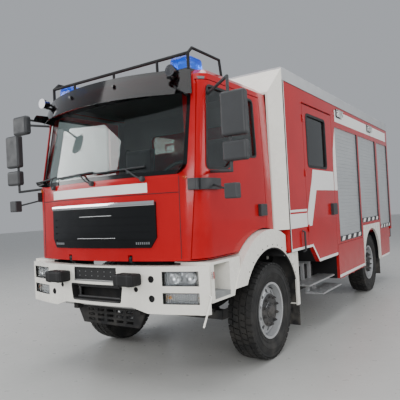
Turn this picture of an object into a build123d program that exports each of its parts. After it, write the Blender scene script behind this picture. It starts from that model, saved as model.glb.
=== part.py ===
from build123d import *
import math
import os

os.makedirs("parts", exist_ok=True)

# Fire engine with a tilting cab, a crew cabin and an equipment body.
# Millimetres. X points to the vehicle's left, Z up from the ground.
# Y points to the rear and is measured from the front axle; every node is moved by
# MIDDLE when it is written, so the saved model is centred on its length.

# Sizes that drive the rest
WHEELBASE = 4220
BODY_HALF = 1250
BODY_FRONT = 425
BODY_TOP = 3120
CAB_HALF = 1120
CAB_FRONT = -1410
CAB_ROOF = 3000
CAB_BOTTOM = 1205
CAB_WAIST = 1960
TYRE_R = 520
RAIL_TOP = 1060
RAIL_X = 450

# Walls, seams and running clearances
WALL = 55
SEAM = 8
SEAT = 0.3
CUT = 10

# Ends of the vehicle
BODY_REAR = WHEELBASE + 1730
TAIL = BODY_REAR + 190
BUMPER_FACE = CAB_FRONT - 55
COVER_FACE = BUMPER_FACE - 115
MIDDLE = (TAIL + COVER_FACE) / 2
ROOF_TOP = BODY_TOP + 150

# Wheels
TYRE_W = 298
WHEEL_X = 1046
RIM_R = 290
RIM_W = 235
HUB_R = 95
SPINDLE_R = 40
HANDHOLE_R = 24
HANDHOLE_RING = (RIM_R + HUB_R) / 2 + 12
HANDHOLES = 10

# Cab
CAB_REAR = 255
CAB_HEADER = CAB_ROOF - 170
CAB_EDGE = CAB_ROOF - 70
GLASS_SET = 18
GLASS_T = 8

# Front fender and its arch
FENDER_Z = TYRE_R - 20
FENDER_R = 900
ARCH_R = FENDER_R - 200
FENDER_OUT = CAB_HALF + 80
FENDER_IN = CAB_HALF - 250
FENDER_T = 20
FENDER_GAP = 15
FLOOR_ARCH_R = FENDER_R + FENDER_GAP

# Cab door, seen from the side
DOOR_FRONT_LOW = CAB_FRONT + 165
DOOR_FRONT_WAIST = CAB_FRONT + 215
DOOR_FRONT_HIGH = CAB_FRONT + 370
DOOR_REAR = 90
DOOR_TOP = CAB_HEADER + 35
DOOR_BOTTOM = CAB_BOTTOM + 13
DOOR_ARC_ANGLE = -20

# Chassis rails
RAIL_H = 260
RAIL_LOW = RAIL_TOP - RAIL_H
RAIL_FLANGE = 75
RAIL_T = 8
RAIL_FRONT = BUMPER_FACE + 130
RAIL_REAR = BODY_REAR - 100

# Crew cabin
CREW_REAR = 2200
CREW_FLOOR = RAIL_TOP + 40
WELL_FLOOR = CREW_FLOOR - 220
WELL_IN = BODY_HALF - 650
CREW_DOOR_FRONT = BODY_FRONT + 595
CREW_DOOR_REAR = CREW_REAR - 35
CREW_DOOR_TOP = BODY_TOP - 190
WELL_FRONT = CREW_DOOR_FRONT + 130
WELL_SLOPE = 230

# Lower lockers and the parts round the rear wheel
SKIRT_LOW = 520
SKIRT_REAR = WHEELBASE + 1440
REAR_ARCH_R = 565
REAR_ARCH_FRONT = WHEELBASE - 570
REAR_ARCH_REAR = WHEELBASE + 630
REAR_ARCH_TOP = CREW_FLOOR + 125
REAR_SILL_LOW = CREW_FLOOR - 70
FLAP_TOP = CREW_FLOOR - 70
FLAP_FRONT = CREW_REAR + 10
FLAP_REAR = REAR_ARCH_FRONT - 10
FLAP_T = 40

# Front bumper
BUMPER_LOW = 740
BUMPER_TOP = CAB_BOTTOM - 40
BUMPER_HALF = CAB_HALF + 65
BUMPER_SIDE = BUMPER_FACE + 185
BUMPER_REAR = BUMPER_FACE + 233
BUMPER_T = 95
BUMPER_CORNER = 95


def block(x0, x1, y0, y1, z0, z1):
    """Box between two limits on each axis."""
    centre = Pos((x0 + x1) / 2, (y0 + y1) / 2, (z0 + z1) / 2)
    return centre * Box(x1 - x0, y1 - y0, z1 - z0)


def run_across(outline, x0, x1):
    """Outline in (y, z) run along X."""
    return extrude(Plane.YZ.offset(x0) * outline, x1 - x0, dir=(1, 0, 0))


def side_prism(points, x0, x1, radius=0):
    """Outline in (y, z), run across the vehicle from x0 to x1."""
    outline = make_face(Polyline(*points, close=True))
    if radius:
        outline = fillet(outline.vertices(), radius)
    return run_across(outline, x0, x1)


def front_prism(points, y0, y1, radius=0):
    """Outline in (x, z), run along the vehicle from y0 to y1."""
    outline = make_face(Polyline(*points, close=True))
    if radius:
        outline = fillet(outline.vertices(), radius)
    return extrude(Plane.XZ.offset(-y0) * outline, y1 - y0, dir=(0, 1, 0))


def cross_cylinder(radius, y, z, x0, x1):
    """Cylinder along X."""
    return Pos((x0 + x1) / 2, y, z) * Rot(0, 90, 0) * Cylinder(radius, x1 - x0)


def post(radius, x, y, z0, z1):
    """Cylinder along Z."""
    return Pos(x, y, (z0 + z1) / 2) * Cylinder(radius, z1 - z0)


def bar(start, end, radius):
    """Round bar between two points."""
    a = Vector(*start)
    run = Vector(*end) - a
    return Plane(origin=a, z_dir=run) * Pos(0, 0, run.length / 2) * Cylinder(radius, run.length)


def bent_tube(points, radius):
    """Tube along straight stretches with round elbows."""
    pieces = [bar(p, q, radius) for p, q in zip(points, points[1:])]
    elbows = [Pos(*p) * Sphere(radius) for p in points[1:-1]]
    return sum(pieces[1:] + elbows, pieces[0])


def rounded_block(x0, x1, y0, y1, z0, z1, radius):
    """Box with all its edges rounded."""
    body = block(x0, x1, y0, y1, z0, z1)
    return fillet(body.edges(), radius)


def other_side(shape):
    """The same piece on the vehicle's right."""
    return mirror(shape, about=Plane.YZ)


def pair(shape):
    """A piece and its copy on the right, as solids of one node."""
    return shape + other_side(shape)


def save(name, shape):
    """Write one node, moved so that the origin lies midway along the vehicle."""
    moved = Pos(0, -MIDDLE, 0) * shape
    solids = moved.solids()
    whole = solids[0] if len(solids) == 1 else Compound(children=list(solids))
    whole.label = name
    export_step(whole, f"parts/{name}.step")


# Cab body: plan sections from the lower edge to the roof, columns are
# height, half width, rear, start of the corner, corner x, corner y, middle of the front
CAB_SECTIONS = [
    (CAB_BOTTOM, CAB_HALF, CAB_REAR, CAB_FRONT + 370, CAB_HALF - 190, CAB_FRONT + 125, CAB_FRONT),
    (CAB_WAIST, CAB_HALF, CAB_REAR, CAB_FRONT + 360, CAB_HALF - 160, CAB_FRONT + 151, CAB_FRONT + 10),
    (CAB_HEADER, CAB_HALF - 23, CAB_REAR, CAB_FRONT + 485, CAB_HALF - 160, CAB_FRONT + 335, CAB_FRONT + 185),
    (CAB_EDGE, CAB_HALF - 28, CAB_REAR, CAB_FRONT + 520, CAB_HALF - 165, CAB_FRONT + 370, CAB_FRONT + 215),
    (CAB_ROOF, CAB_HALF - 110, CAB_REAR - 60, CAB_FRONT + 610, CAB_HALF - 220, CAB_FRONT + 480,
     CAB_FRONT + 320),
]
# Share of an inset that the corner point moves by, in x and in y
CORNER_SHARE_X = 0.5
CORNER_SHARE_Y = 0.95


def plan_section(height, half, rear, shoulder, corner_x, corner_y, front, inset):
    """Level section of the cab, drawn in by the inset."""
    h = half - inset
    r = rear - inset
    cx = corner_x - inset * CORNER_SHARE_X
    cy = corner_y + inset * CORNER_SHARE_Y
    back = Line((-h, r), (h, r))
    left = Line((h, r), (h, shoulder))
    left_corner = TangentArc((h, shoulder), (cx, cy), tangent=(0, -1))
    bow = ThreePointArc((cx, cy), (0, front + inset), (-cx, cy))
    right_corner = TangentArc((-h, shoulder), (-cx, cy), tangent=(0, -1))
    right = Line((-h, r), (-h, shoulder))
    return Pos(0, 0, height) * make_face([back, left, left_corner, bow, right_corner, right])


def cab_form(inset, low=CAB_BOTTOM, top_drop=0):
    """Outer form of the cab, drawn in by the inset on every side."""
    sections = []
    last = len(CAB_SECTIONS) - 1
    for i, row in enumerate(CAB_SECTIONS):
        height = row[0]
        if i == 0:
            height = low
        if i >= last - 1:
            height = height - top_drop
        sections.append(plan_section(height, *row[1:], inset))
    return loft(sections, ruled=True)


def door_outline(gap):
    """Cab door seen from the side, grown by the gap."""
    front_low = DOOR_FRONT_LOW - gap
    front_waist = DOOR_FRONT_WAIST - gap
    front_high = DOOR_FRONT_HIGH - gap
    low = DOOR_BOTTOM - gap
    top = DOOR_TOP + gap
    radius = FLOOR_ARCH_R - gap
    meet_y = -math.sqrt(radius**2 - (low - FENDER_Z)**2)
    rear = DOOR_REAR + gap
    rear_z = FENDER_Z + math.sqrt(radius**2 - rear**2)
    angle = math.radians(DOOR_ARC_ANGLE)
    on_arc = (radius * math.sin(angle), FENDER_Z + radius * math.cos(angle))
    edges = [
        Line((front_low, low), (meet_y, low)),
        ThreePointArc((meet_y, low), on_arc, (rear, rear_z)),
        Line((rear, rear_z), (rear, top)),
        Line((rear, top), (front_high, top)),
        Line((front_high, top), (front_waist, CAB_WAIST)),
        Line((front_waist, CAB_WAIST), (front_low, low)),
    ]
    return make_face(edges)


# Window in the cab door: y, z
DOOR_WINDOW = [
    (CAB_FRONT + 325, CAB_WAIST + 65),
    (CAB_FRONT + 710, CAB_WAIST + 80),
    (CAB_FRONT + 890, CAB_WAIST + 220),
    (DOOR_REAR - 155, CAB_WAIST + 230),
    (DOOR_REAR - 155, DOOR_TOP - 50),
    (CAB_FRONT + 425, DOOR_TOP - 50),
]
DOOR_WINDOW_CORNER = 45

# Windscreen and the rear window of the cab
SCREEN_HALF = CAB_HALF - 120
SCREEN_LOW = CAB_WAIST + 25
SCREEN_TOP = CAB_HEADER - 30
SCREEN_TAPER = 12
SCREEN_CORNER = 110
REAR_WINDOW_HALF = CAB_HALF / 2
REAR_WINDOW_LOW = CAB_WAIST + 190
REAR_WINDOW_TOP = CAB_HEADER - 180
REAR_WINDOW_CORNER = 60

# Cab door hinge axis by the front corner, and the room that the door's leading edge swings in
HINGE_X = CAB_HALF - 35
HINGE_Y = CAB_FRONT + 195
HINGE_BOSS_R = 20
SWING_R = 248

# Depth limits of the tools that cut the door out of the skin and the screen out of the front
SIDE_IN = CAB_HALF - 520
SIDE_OUT = CAB_HALF + 80
AHEAD = CAB_FRONT - 190
BEHIND = CAB_FRONT + 810


def cab_parts():
    """Cab shell, left door, windscreen with rear window, and the left door's pane."""
    across = CAB_HALF + CUT
    outer = cab_form(0)
    arch = cross_cylinder(FLOOR_ARCH_R, 0, FENDER_Z, -across, across)
    hump = cross_cylinder(FLOOR_ARCH_R + WALL, 0, FENDER_Z, -across, across)
    inner = cab_form(WALL, CAB_BOTTOM + WALL, WALL)
    hollow = cab_form(WALL, CAB_BOTTOM - CUT, WALL)
    skin = outer - hollow
    shell = (outer - arch) - (inner - hump)

    gap_cut = run_across(door_outline(SEAM), SIDE_IN, SIDE_OUT)
    door_cut = run_across(door_outline(0), SIDE_IN, SIDE_OUT)
    shell = shell - pair(skin & gap_cut)

    top_half = SCREEN_HALF - SCREEN_TAPER
    screen_hole = front_prism([
        (-SCREEN_HALF, SCREEN_LOW), (SCREEN_HALF, SCREEN_LOW),
        (top_half, SCREEN_TOP), (-top_half, SCREEN_TOP)],
        AHEAD, BEHIND, SCREEN_CORNER)
    rear_hole = front_prism([
        (-REAR_WINDOW_HALF, REAR_WINDOW_LOW), (REAR_WINDOW_HALF, REAR_WINDOW_LOW),
        (REAR_WINDOW_HALF, REAR_WINDOW_TOP), (-REAR_WINDOW_HALF, REAR_WINDOW_TOP)],
        CAB_REAR - 2 * WALL, CAB_REAR + CUT, REAR_WINDOW_CORNER)
    window_hole = side_prism(DOOR_WINDOW, SIDE_IN, SIDE_OUT, DOOR_WINDOW_CORNER)
    swing = post(SWING_R, HINGE_X, HINGE_Y, DOOR_BOTTOM - SEAM, CAB_WAIST) & hollow
    shell = shell - screen_hole - rear_hole - pair(tilt_slot()) - pair(swing)

    door = (skin & door_cut) - window_hole
    glass_in = GLASS_SET + GLASS_T
    layer = cab_form(GLASS_SET, CAB_BOTTOM, GLASS_SET) - cab_form(glass_in, CAB_BOTTOM - CUT, glass_in)
    panes = (layer & screen_hole) + (layer & rear_hole)
    return shell, door, panes, layer & window_hole


# Half section of the tyre: radius, place along the axle
BEAD_X = 100
BEAD_LIP = 28
BEAD_LIP_X = 118
WALL_MIDDLE = 130
SHOULDER = 22
SHOULDER_X = 18
CROWN = 7
CROWN_X = 24
TREAD_X = 42


def wheel_tyre():
    """Tyre standing on the X axis, outer face towards +X."""
    half = TYRE_W / 2
    bead = RIM_R + SEAT
    foot = (bead, BEAD_X)
    lip = (bead + BEAD_LIP, BEAD_LIP_X)
    wall = (bead + WALL_MIDDLE, half)
    shoulder = (TYRE_R - SHOULDER, half - SHOULDER_X)
    crown = (TYRE_R - CROWN, half - CROWN_X)
    tread = (TYRE_R, half - TREAD_X)
    foot_in, lip_in, wall_in, shoulder_in, crown_in, tread_in = [
        (radius, -run) for radius, run in (foot, lip, wall, shoulder, crown, tread)]
    profile = make_face([
        Line(foot_in, foot), Line(foot, lip), ThreePointArc(lip, wall, shoulder),
        ThreePointArc(shoulder, crown, tread), Line(tread, tread_in),
        ThreePointArc(tread_in, crown_in, shoulder_in), ThreePointArc(shoulder_in, wall_in, lip_in),
        Line(lip_in, foot_in)])
    return Rot(0, 90, 0) * revolve(Plane.XZ * profile, Axis.Z)


# Section of the steel disc wheel with its hub: radius, place along the axle
RIM_SECTION = [
    (RIM_R + 12, RIM_W / 2 + 4), (RIM_R + 12, RIM_W / 2 - 6), (RIM_R, RIM_W / 2 - 16), (RIM_R, 30),
    (RIM_R - 30, 10), (RIM_R - 30, -70), (RIM_R, -90), (RIM_R, 16 - RIM_W / 2),
    (RIM_R + 12, 6 - RIM_W / 2), (RIM_R + 12, -4 - RIM_W / 2), (RIM_R - 12, -RIM_W / 2),
    (RIM_R - 42, -80), (RIM_R - 42, 4), (RIM_R - 34, 22), (RIM_R - 40, 40), (HUB_R + 85, 62),
    (HUB_R + 65, 84), (HUB_R, 84), (HUB_R, -60), (SPINDLE_R + SEAT, -60), (SPINDLE_R + SEAT, 104),
    (HUB_R - 12, 104), (HUB_R - 2, 96), (HUB_R, 94), (HUB_R + 73, 94), (HUB_R + 95, 74),
    (RIM_R - 36, 52), (RIM_R - 22, 34), (RIM_R - 12, RIM_W / 2),
]


def wheel_rim():
    """Steel disc wheel on the X axis with a hub, outer face towards +X."""
    disc = Rot(0, 90, 0) * revolve(Plane.XZ * make_face(Polyline(*RIM_SECTION, close=True)), Axis.Z)
    hole = Pos(HANDHOLE_R, 0, HANDHOLE_RING) * Rot(0, 90, 0) * Cylinder(HANDHOLE_R, RIM_W / 2)
    return disc - [Rot(360 / HANDHOLES * i, 0, 0) * hole for i in range(HANDHOLES)]


# Wheels: name, side of the vehicle, distance behind the front axle
WHEELS = [
    ("front_left", 1, 0),
    ("front_right", -1, 0),
    ("rear_left", 1, WHEELBASE),
    ("rear_right", -1, WHEELBASE),
]

# Steering
KINGPIN_X = WHEEL_X - 196
KINGPIN_R = 18
BOSS_R = 48
BOSS_LOW = TYRE_R - 70
BOSS_TOP = TYRE_R + 70
EAR_GAP = 5
EAR_T = 34
EAR_LOW = BOSS_LOW - EAR_GAP - EAR_T
EAR_TOP = BOSS_TOP + EAR_GAP + EAR_T
EAR_REACH = KINGPIN_X + BOSS_R + 14
EAR_BACK = 30
ARM_Y = 210
ARM_HALF = 22
ARM_EYE_R = 26
ARM_DROP = 8
ROD_R = 16
ROD_EYE_R = 30
ROD_EYE_H = 34
BALL_R = 13
SPINDLE_END = WHEEL_X + 96


def knuckle():
    """Left steering knuckle: two ears, kingpin, spindle and steering arm."""
    shape = block(EAR_REACH, EAR_REACH + EAR_BACK, -BOSS_R, BOSS_R, EAR_LOW, EAR_TOP)
    for z0, z1 in ((EAR_LOW, EAR_LOW + EAR_T), (EAR_TOP - EAR_T, EAR_TOP)):
        shape += post(BOSS_R, KINGPIN_X, 0, z0, z1)
        shape += block(KINGPIN_X, EAR_REACH + EAR_BACK, -BOSS_R, BOSS_R, z0, z1)
    arm_top = EAR_LOW + EAR_T - ARM_DROP
    shape += post(KINGPIN_R, KINGPIN_X, 0, EAR_LOW, EAR_TOP)
    shape += cross_cylinder(SPINDLE_R, 0, TYRE_R, EAR_REACH, SPINDLE_END)
    shape += block(KINGPIN_X - ARM_HALF, KINGPIN_X + ARM_HALF, 0, ARM_Y, EAR_LOW, arm_top)
    shape += post(ARM_EYE_R, KINGPIN_X, ARM_Y, EAR_LOW, arm_top)
    return shape + post(BALL_R, KINGPIN_X, ARM_Y, EAR_LOW - ROD_EYE_H - CUT, EAR_LOW)


def track_rod():
    """Rod between the two steering arms, with an eye at each end."""
    z1 = EAR_LOW - EAR_GAP
    z0 = z1 - ROD_EYE_H
    rod = cross_cylinder(ROD_R, ARM_Y, (z0 + z1) / 2, -KINGPIN_X, KINGPIN_X)
    rod += pair(post(ROD_EYE_R, KINGPIN_X, ARM_Y, z0, z1))
    return rod - pair(post(BALL_R + SEAT, KINGPIN_X, ARM_Y, z0 - CUT, z1 + CUT))


# Axle beams and springs
BEAM_LOW = TYRE_R - 150
BEAM_TOP = TYRE_R - 30
BEAM_HALF = 45
BEAM_FLAT = KINGPIN_X - 290
REAR_TUBE_R = 70
HOUSING_R = 205
HOUSING_NOSE = (120, 60, 150)
BRAKE_R = 150
BRAKE_T = 30
SPRING_X = RAIL_X - 38
SPRING_W = 76
SPRING_T = 56
PAD_X = SPRING_W / 2 + 12
REAR_SPRING_Z = TYRE_R + 80
LEAF_TIP = 22
SHACKLE_R = 30


def axle_beams():
    """Front drop beam with kingpin bosses, and the rear axle with its housing."""
    web_top = BEAM_TOP - 15
    front = side_prism([
        (-BEAM_HALF, BEAM_LOW), (BEAM_HALF, BEAM_LOW), (BEAM_HALF, web_top), (-BEAM_HALF, web_top)],
        -BEAM_FLAT, BEAM_FLAT)
    front += pair(block(SPRING_X - PAD_X, SPRING_X + PAD_X, -70, 70, BEAM_TOP - 40, BEAM_TOP))
    ramp = front_prism([
        (BEAM_FLAT - 20, BEAM_LOW), (BEAM_FLAT, BEAM_LOW), (KINGPIN_X - 20, BOSS_LOW + 10),
        (KINGPIN_X - 20, BOSS_TOP - 10), (KINGPIN_X - 60, BOSS_TOP - 10), (BEAM_FLAT - 20, web_top)],
        5 - BEAM_HALF, BEAM_HALF - 5)
    boss = post(BOSS_R - 6, KINGPIN_X, 0, BOSS_LOW, BOSS_TOP)
    front += pair((ramp + boss) - post(KINGPIN_R + SEAT, KINGPIN_X, 0, BOSS_LOW - CUT, BOSS_TOP + CUT))

    tube_end = KINGPIN_X + 10
    nose_base, nose_tip, nose_length = HOUSING_NOSE
    rear = cross_cylinder(REAR_TUBE_R, WHEELBASE, TYRE_R, -tube_end, tube_end)
    rear += Pos(0, WHEELBASE, TYRE_R) * Sphere(HOUSING_R)
    nose_y = WHEELBASE - HOUSING_R - CUT
    rear += Pos(0, nose_y, TYRE_R) * Rot(90, 0, 0) * Cone(nose_base, nose_tip, nose_length)
    rear += pair(cross_cylinder(SPINDLE_R, WHEELBASE, TYRE_R, KINGPIN_X, SPINDLE_END))
    rear += pair(cross_cylinder(BRAKE_R, WHEELBASE, TYRE_R, KINGPIN_X, KINGPIN_X + BRAKE_T))
    rear += pair(block(SPRING_X - PAD_X, SPRING_X + PAD_X, WHEELBASE - 75, WHEELBASE + 75,
                       TYRE_R, REAR_SPRING_Z))
    return front + rear


def spring_pack(centre_y, seat_z, eye_z, half_length):
    """One leaf pack seen as a shallow arc, with its hangers up to the rail."""
    tip_z = eye_z + LEAF_TIP
    outline = make_face([
        ThreePointArc((-half_length, eye_z), (0, seat_z), (half_length, eye_z)),
        Line((half_length, eye_z), (half_length, tip_z)),
        ThreePointArc((half_length, tip_z), (0, seat_z + SPRING_T), (-half_length, tip_z)),
        Line((-half_length, tip_z), (-half_length, eye_z)),
    ])
    x0 = SPRING_X - SPRING_W / 2
    x1 = SPRING_X + SPRING_W / 2
    pack = Pos(0, centre_y, 0) * run_across(outline, x0, x1)
    for end in (-1, 1):
        y = centre_y + end * half_length
        pack += cross_cylinder(SHACKLE_R, y, eye_z + LEAF_TIP / 2, x0, x1)
        pack += side_prism([(y - 45, RAIL_LOW), (y - 20, eye_z), (y + 20, eye_z), (y + 45, RAIL_LOW)],
                           x0 + 12, x1 - 12)
    return pack


def rail():
    """Left C channel rail with its flanges turned inwards."""
    web = block(RAIL_X - RAIL_T, RAIL_X, RAIL_FRONT, RAIL_REAR, RAIL_LOW, RAIL_TOP)
    for z in (RAIL_LOW, RAIL_TOP - RAIL_T):
        web += block(RAIL_X - RAIL_FLANGE, RAIL_X, RAIL_FRONT, RAIL_REAR, z, z + RAIL_T)
    return web


# Cab tilt pivot
PIVOT_X = RAIL_X - 40
PIVOT_Y = CAB_FRONT + 50
PIVOT_Z = CAB_BOTTOM + 20
PIVOT_R = 14
PIVOT_PIN_HALF = 42
PIVOT_PLATE = 30
PIVOT_SLOT = 50
PIVOT_EYE = 28
PIVOT_ROOM = PIVOT_EYE + 8


def tilt_bracket():
    """Plate on the rail's front end with the pin that the cab tilts on."""
    x0 = PIVOT_X - PIVOT_PLATE / 2
    x1 = PIVOT_X + PIVOT_PLATE / 2
    leg = side_prism([
        (RAIL_FRONT + 90, RAIL_TOP), (RAIL_FRONT, RAIL_TOP), (RAIL_FRONT, BUMPER_TOP + 12),
        (PIVOT_Y - PIVOT_EYE + 8, BUMPER_TOP + 30), (PIVOT_Y - PIVOT_EYE + 2, PIVOT_Z),
        (PIVOT_Y + PIVOT_EYE, PIVOT_Z)], x0, x1)
    eye = cross_cylinder(PIVOT_EYE, PIVOT_Y, PIVOT_Z, x0, x1)
    pin = cross_cylinder(PIVOT_R, PIVOT_Y, PIVOT_Z, PIVOT_X - PIVOT_PIN_HALF, PIVOT_X + PIVOT_PIN_HALF)
    return leg + eye + pin


def tilt_slot():
    """Slot and bores for the tilt bracket in the foot of the cab's front wall."""
    x0 = PIVOT_X - PIVOT_SLOT / 2
    x1 = PIVOT_X + PIVOT_SLOT / 2
    slot = block(x0, x1, BUMPER_FACE, PIVOT_Y + 60, CAB_BOTTOM - CUT, PIVOT_Z)
    slot += cross_cylinder(PIVOT_ROOM, PIVOT_Y, PIVOT_Z, x0, x1)
    slot += block(x0, x1, BUMPER_FACE, PIVOT_Y, PIVOT_Z - CUT / 2, PIVOT_Z + PIVOT_ROOM)
    pin_half = PIVOT_PIN_HALF + 1
    return slot + cross_cylinder(PIVOT_R + SEAT, PIVOT_Y, PIVOT_Z, PIVOT_X - pin_half, PIVOT_X + pin_half)


# Stand under the cab's arched floor: front y, rear y
REAR_MOUNT = (130, 200)


def rear_cab_mount():
    """Stand on the rail that the cab's arched floor rests on."""
    y0, y1 = REAR_MOUNT
    stand = block(RAIL_X - RAIL_FLANGE, RAIL_X, y0, y1, RAIL_TOP, FENDER_Z + FLOOR_ARCH_R)
    return stand & cross_cylinder(FLOOR_ARCH_R - SEAT, 0, FENDER_Z, 0, CAB_HALF)


# Cross members: distance behind the front axle
CROSS_MEMBERS = [RAIL_FRONT + 155, CREW_REAR - 1050, CREW_REAR + 100, WHEELBASE - 720, WHEELBASE + 680,
                 RAIL_REAR - 70]
CROSS_HALF = 45
CROSS_INSET = 40
# Places along the rails of the pads that carry the crew cabin and the body
BODY_PADS = [BODY_FRONT + 195, CREW_REAR - 700, CREW_REAR + 250, WHEELBASE - 520, WHEELBASE + 530,
             RAIL_REAR - 200]
PAD_HALF = 70


def chassis_frame():
    """Two channel rails with their cross members, body pads and cab mounts."""
    frame = pair(rail())
    for y in BODY_PADS:
        frame += pair(block(RAIL_X - RAIL_FLANGE, RAIL_X, y - PAD_HALF, y + PAD_HALF, RAIL_TOP, CREW_FLOOR))
    inside = RAIL_X - RAIL_T
    for y in CROSS_MEMBERS:
        frame += block(-inside, inside, y - CROSS_HALF, y + CROSS_HALF,
                       RAIL_LOW + CROSS_INSET, RAIL_TOP - CROSS_INSET)
    return frame + pair(tilt_bracket() + rear_cab_mount())


def bumper_plan(inset, rear):
    """Bowed bumper in plan between its face and a rear line."""
    half = BUMPER_HALF - inset
    side = BUMPER_SIDE + inset
    bow_end = (half - BUMPER_CORNER, side - 18)
    turn = (half - 24, side + 6)
    flank = (half, side + 46)
    bow_end_r, turn_r, flank_r = [(-x, y) for x, y in (bow_end, turn, flank)]
    return make_face([
        ThreePointArc(bow_end, (0, BUMPER_FACE + inset), bow_end_r),
        ThreePointArc(bow_end_r, turn_r, flank_r),
        Line(flank_r, (-half, rear)),
        Line((-half, rear), (half, rear)),
        Line((half, rear), flank),
        ThreePointArc(flank, turn, bow_end),
    ])


def bumper_slab(inset, rear, z0, z1):
    """Bowed block with the bumper's plan."""
    return extrude(Pos(0, 0, z0) * bumper_plan(inset, rear), z1 - z0)


# Lamp pockets in the bumper: inner x, outer x, low z, top z
HEADLAMP_POCKETS = [
    (BUMPER_HALF - 415, BUMPER_HALF - 75, 990, 1120),
    (BUMPER_HALF - 415, BUMPER_HALF - 75, 830, 930),
]
# Round holes in the bumper: x, z, radius
BUMPER_HOLES = [
    (BUMPER_HALF - 525, 1050, 32),
    (BUMPER_HALF - 525, 875, 32),
    (BUMPER_HALF - 685, 955, 24),
]
# Winch opening and the raised lower edge: x, z of the left half, from the top or the outside
WINCH_OPENING = [(352, 986), (326, 820)]
WINCH_CORNER = 22
LOWER_EDGE = [(650, BUMPER_LOW - CUT), (450, BUMPER_LOW + 50)]
# Plate recess: half width, low z, top z, depth
PLATE_RECESS = (285, 1012, 1150, 20)


def both_halves(points):
    """Closed outline from the points of its left half."""
    return points + [(-x, z) for x, z in reversed(points)]


def front_bumper():
    """Deep bowed bumper with openings for the lamps, the winch, tow points and the plate."""
    body = bumper_slab(0, BUMPER_REAR, BUMPER_LOW, BUMPER_TOP)
    body -= bumper_slab(BUMPER_T, BUMPER_REAR + CUT, BUMPER_LOW - CUT, BUMPER_TOP + CUT)
    body += pair(block(RAIL_X - RAIL_FLANGE, RAIL_X, BUMPER_FACE + 80, RAIL_FRONT,
                       RAIL_LOW + 20, RAIL_TOP - 20))
    front = BUMPER_FACE - CUT
    body -= front_prism(both_halves(WINCH_OPENING), front, BUMPER_REAR, WINCH_CORNER)
    body -= front_prism(both_halves(LOWER_EDGE), front, BUMPER_REAR)
    half, low, top, depth = PLATE_RECESS
    body -= block(-half, half, front, BUMPER_FACE + depth, low, top)
    for x0, x1, z0, z1 in HEADLAMP_POCKETS:
        body -= pair(block(x0, x1, front, BUMPER_REAR + CUT, z0, z1))
    for x, z, radius in BUMPER_HOLES:
        body -= pair(bar((x, front, z), (x, BUMPER_REAR, z), radius))
    return body


# Scene lights on the side: y, z, and their half length, half height and reach
SCENE_LIGHTS = [(CREW_REAR + 360, BODY_TOP - 110), (WHEELBASE + 180, BODY_TOP - 130)]
SCENE_LIGHT_SIZE = (130, 55, 45)
LAMP_SET = 12
LAMP_T = 40


def white_lamps():
    """Headlamps in the bumper and the scene lights in the upper side band."""
    slab = bumper_slab(LAMP_SET, BUMPER_REAR, BUMPER_LOW, BUMPER_TOP)
    slab -= bumper_slab(LAMP_SET + LAMP_T, BUMPER_REAR + CUT, BUMPER_LOW - CUT, BUMPER_TOP + CUT)
    lamps = [slab & block(x0, x1, BUMPER_FACE, STEP_FRONT - CUT, z0, z1)
             for x0, x1, z0, z1 in HEADLAMP_POCKETS]
    half_y, half_z, reach = SCENE_LIGHT_SIZE
    lamps += [rounded_block(BODY_HALF, BODY_HALF + reach, y - half_y, y + half_y, z - half_z, z + half_z, 14)
              for y, z in SCENE_LIGHTS]
    whole = [pair(lamp) for lamp in lamps]
    return sum(whole[1:], whole[0])


# Covered lamps: inner x, outer x, low z, top z
LAMP_COVER = (350, 590, 1000, 1110)
LAMP_COVER_R = 22
LOW_BAR_R = 26
LOW_BAR_Y = BUMPER_FACE + 195
LOW_BAR_Z = BUMPER_LOW + 12
# Plate below the bumper: x, z of its left half, and its grid of slots
LOW_PLATE = [(450, LOW_BAR_Z + 8), (450, LOW_BAR_Z - 62), (380, LOW_BAR_Z - 202)]
LOW_PLATE_T = 20
SLOT_ROWS = 3
SLOT_COLUMNS = 5
SLOT_PITCH = (130, 50)
SLOT_SIZE = (90, 26)
SLOT_LOW = LOW_BAR_Z - 174
# Winch box: half width, low z, top z
WINCH_BOX = (330, 830, 980)


def bumper_fittings():
    """Lamp covers on the bumper, the steel bar with its slotted plate, and the winch box."""
    x0, x1, z0, z1 = LAMP_COVER
    cover = rounded_block(x0, x1, COVER_FACE, BUMPER_FACE + 25, z0, z1, LAMP_COVER_R)
    covers = pair(cover) - bumper_slab(-SEAT, BUMPER_REAR, BUMPER_LOW, BUMPER_TOP)
    half = BUMPER_HALF - 545
    carrier = cross_cylinder(LOW_BAR_R, LOW_BAR_Y, LOW_BAR_Z, -half, half)
    carrier += pair(block(RAIL_X - 60, RAIL_X, RAIL_FRONT, RAIL_FRONT + 135, LOW_BAR_Z - 52, RAIL_LOW))
    carrier += front_prism(both_halves(LOW_PLATE), LOW_BAR_Y, LOW_BAR_Y + LOW_PLATE_T)
    for row in range(SLOT_ROWS):
        for column in range(SLOT_COLUMNS):
            x = SLOT_PITCH[0] * (column - (SLOT_COLUMNS - 1) / 2)
            z = SLOT_LOW + SLOT_PITCH[1] * row
            carrier -= block(x - SLOT_SIZE[0] / 2, x + SLOT_SIZE[0] / 2, LOW_BAR_Y - CUT,
                             LOW_BAR_Y + LOW_PLATE_T + CUT, z, z + SLOT_SIZE[1])
    half, low, top = WINCH_BOX
    winch = block(-half, half, LOW_BAR_Y - 30, CROSS_MEMBERS[0] - CROSS_HALF, low, top)
    return covers + carrier + winch


# Step housing between the bumper and the fender
STEP_FRONT = BUMPER_REAR + 10
STEP_IN = CAB_HALF - 320
STEP_LOW = 834
STEP_TREAD = 890
STEP_WALL = 50
HOUSING_TOP = CAB_BOTTOM - 15
# Foot of the fender behind the wheel
LEG_LOW = FENDER_Z - 60
LEG_FRONT = ARCH_R - 30
LEG_REAR = ARCH_R + 50


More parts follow.
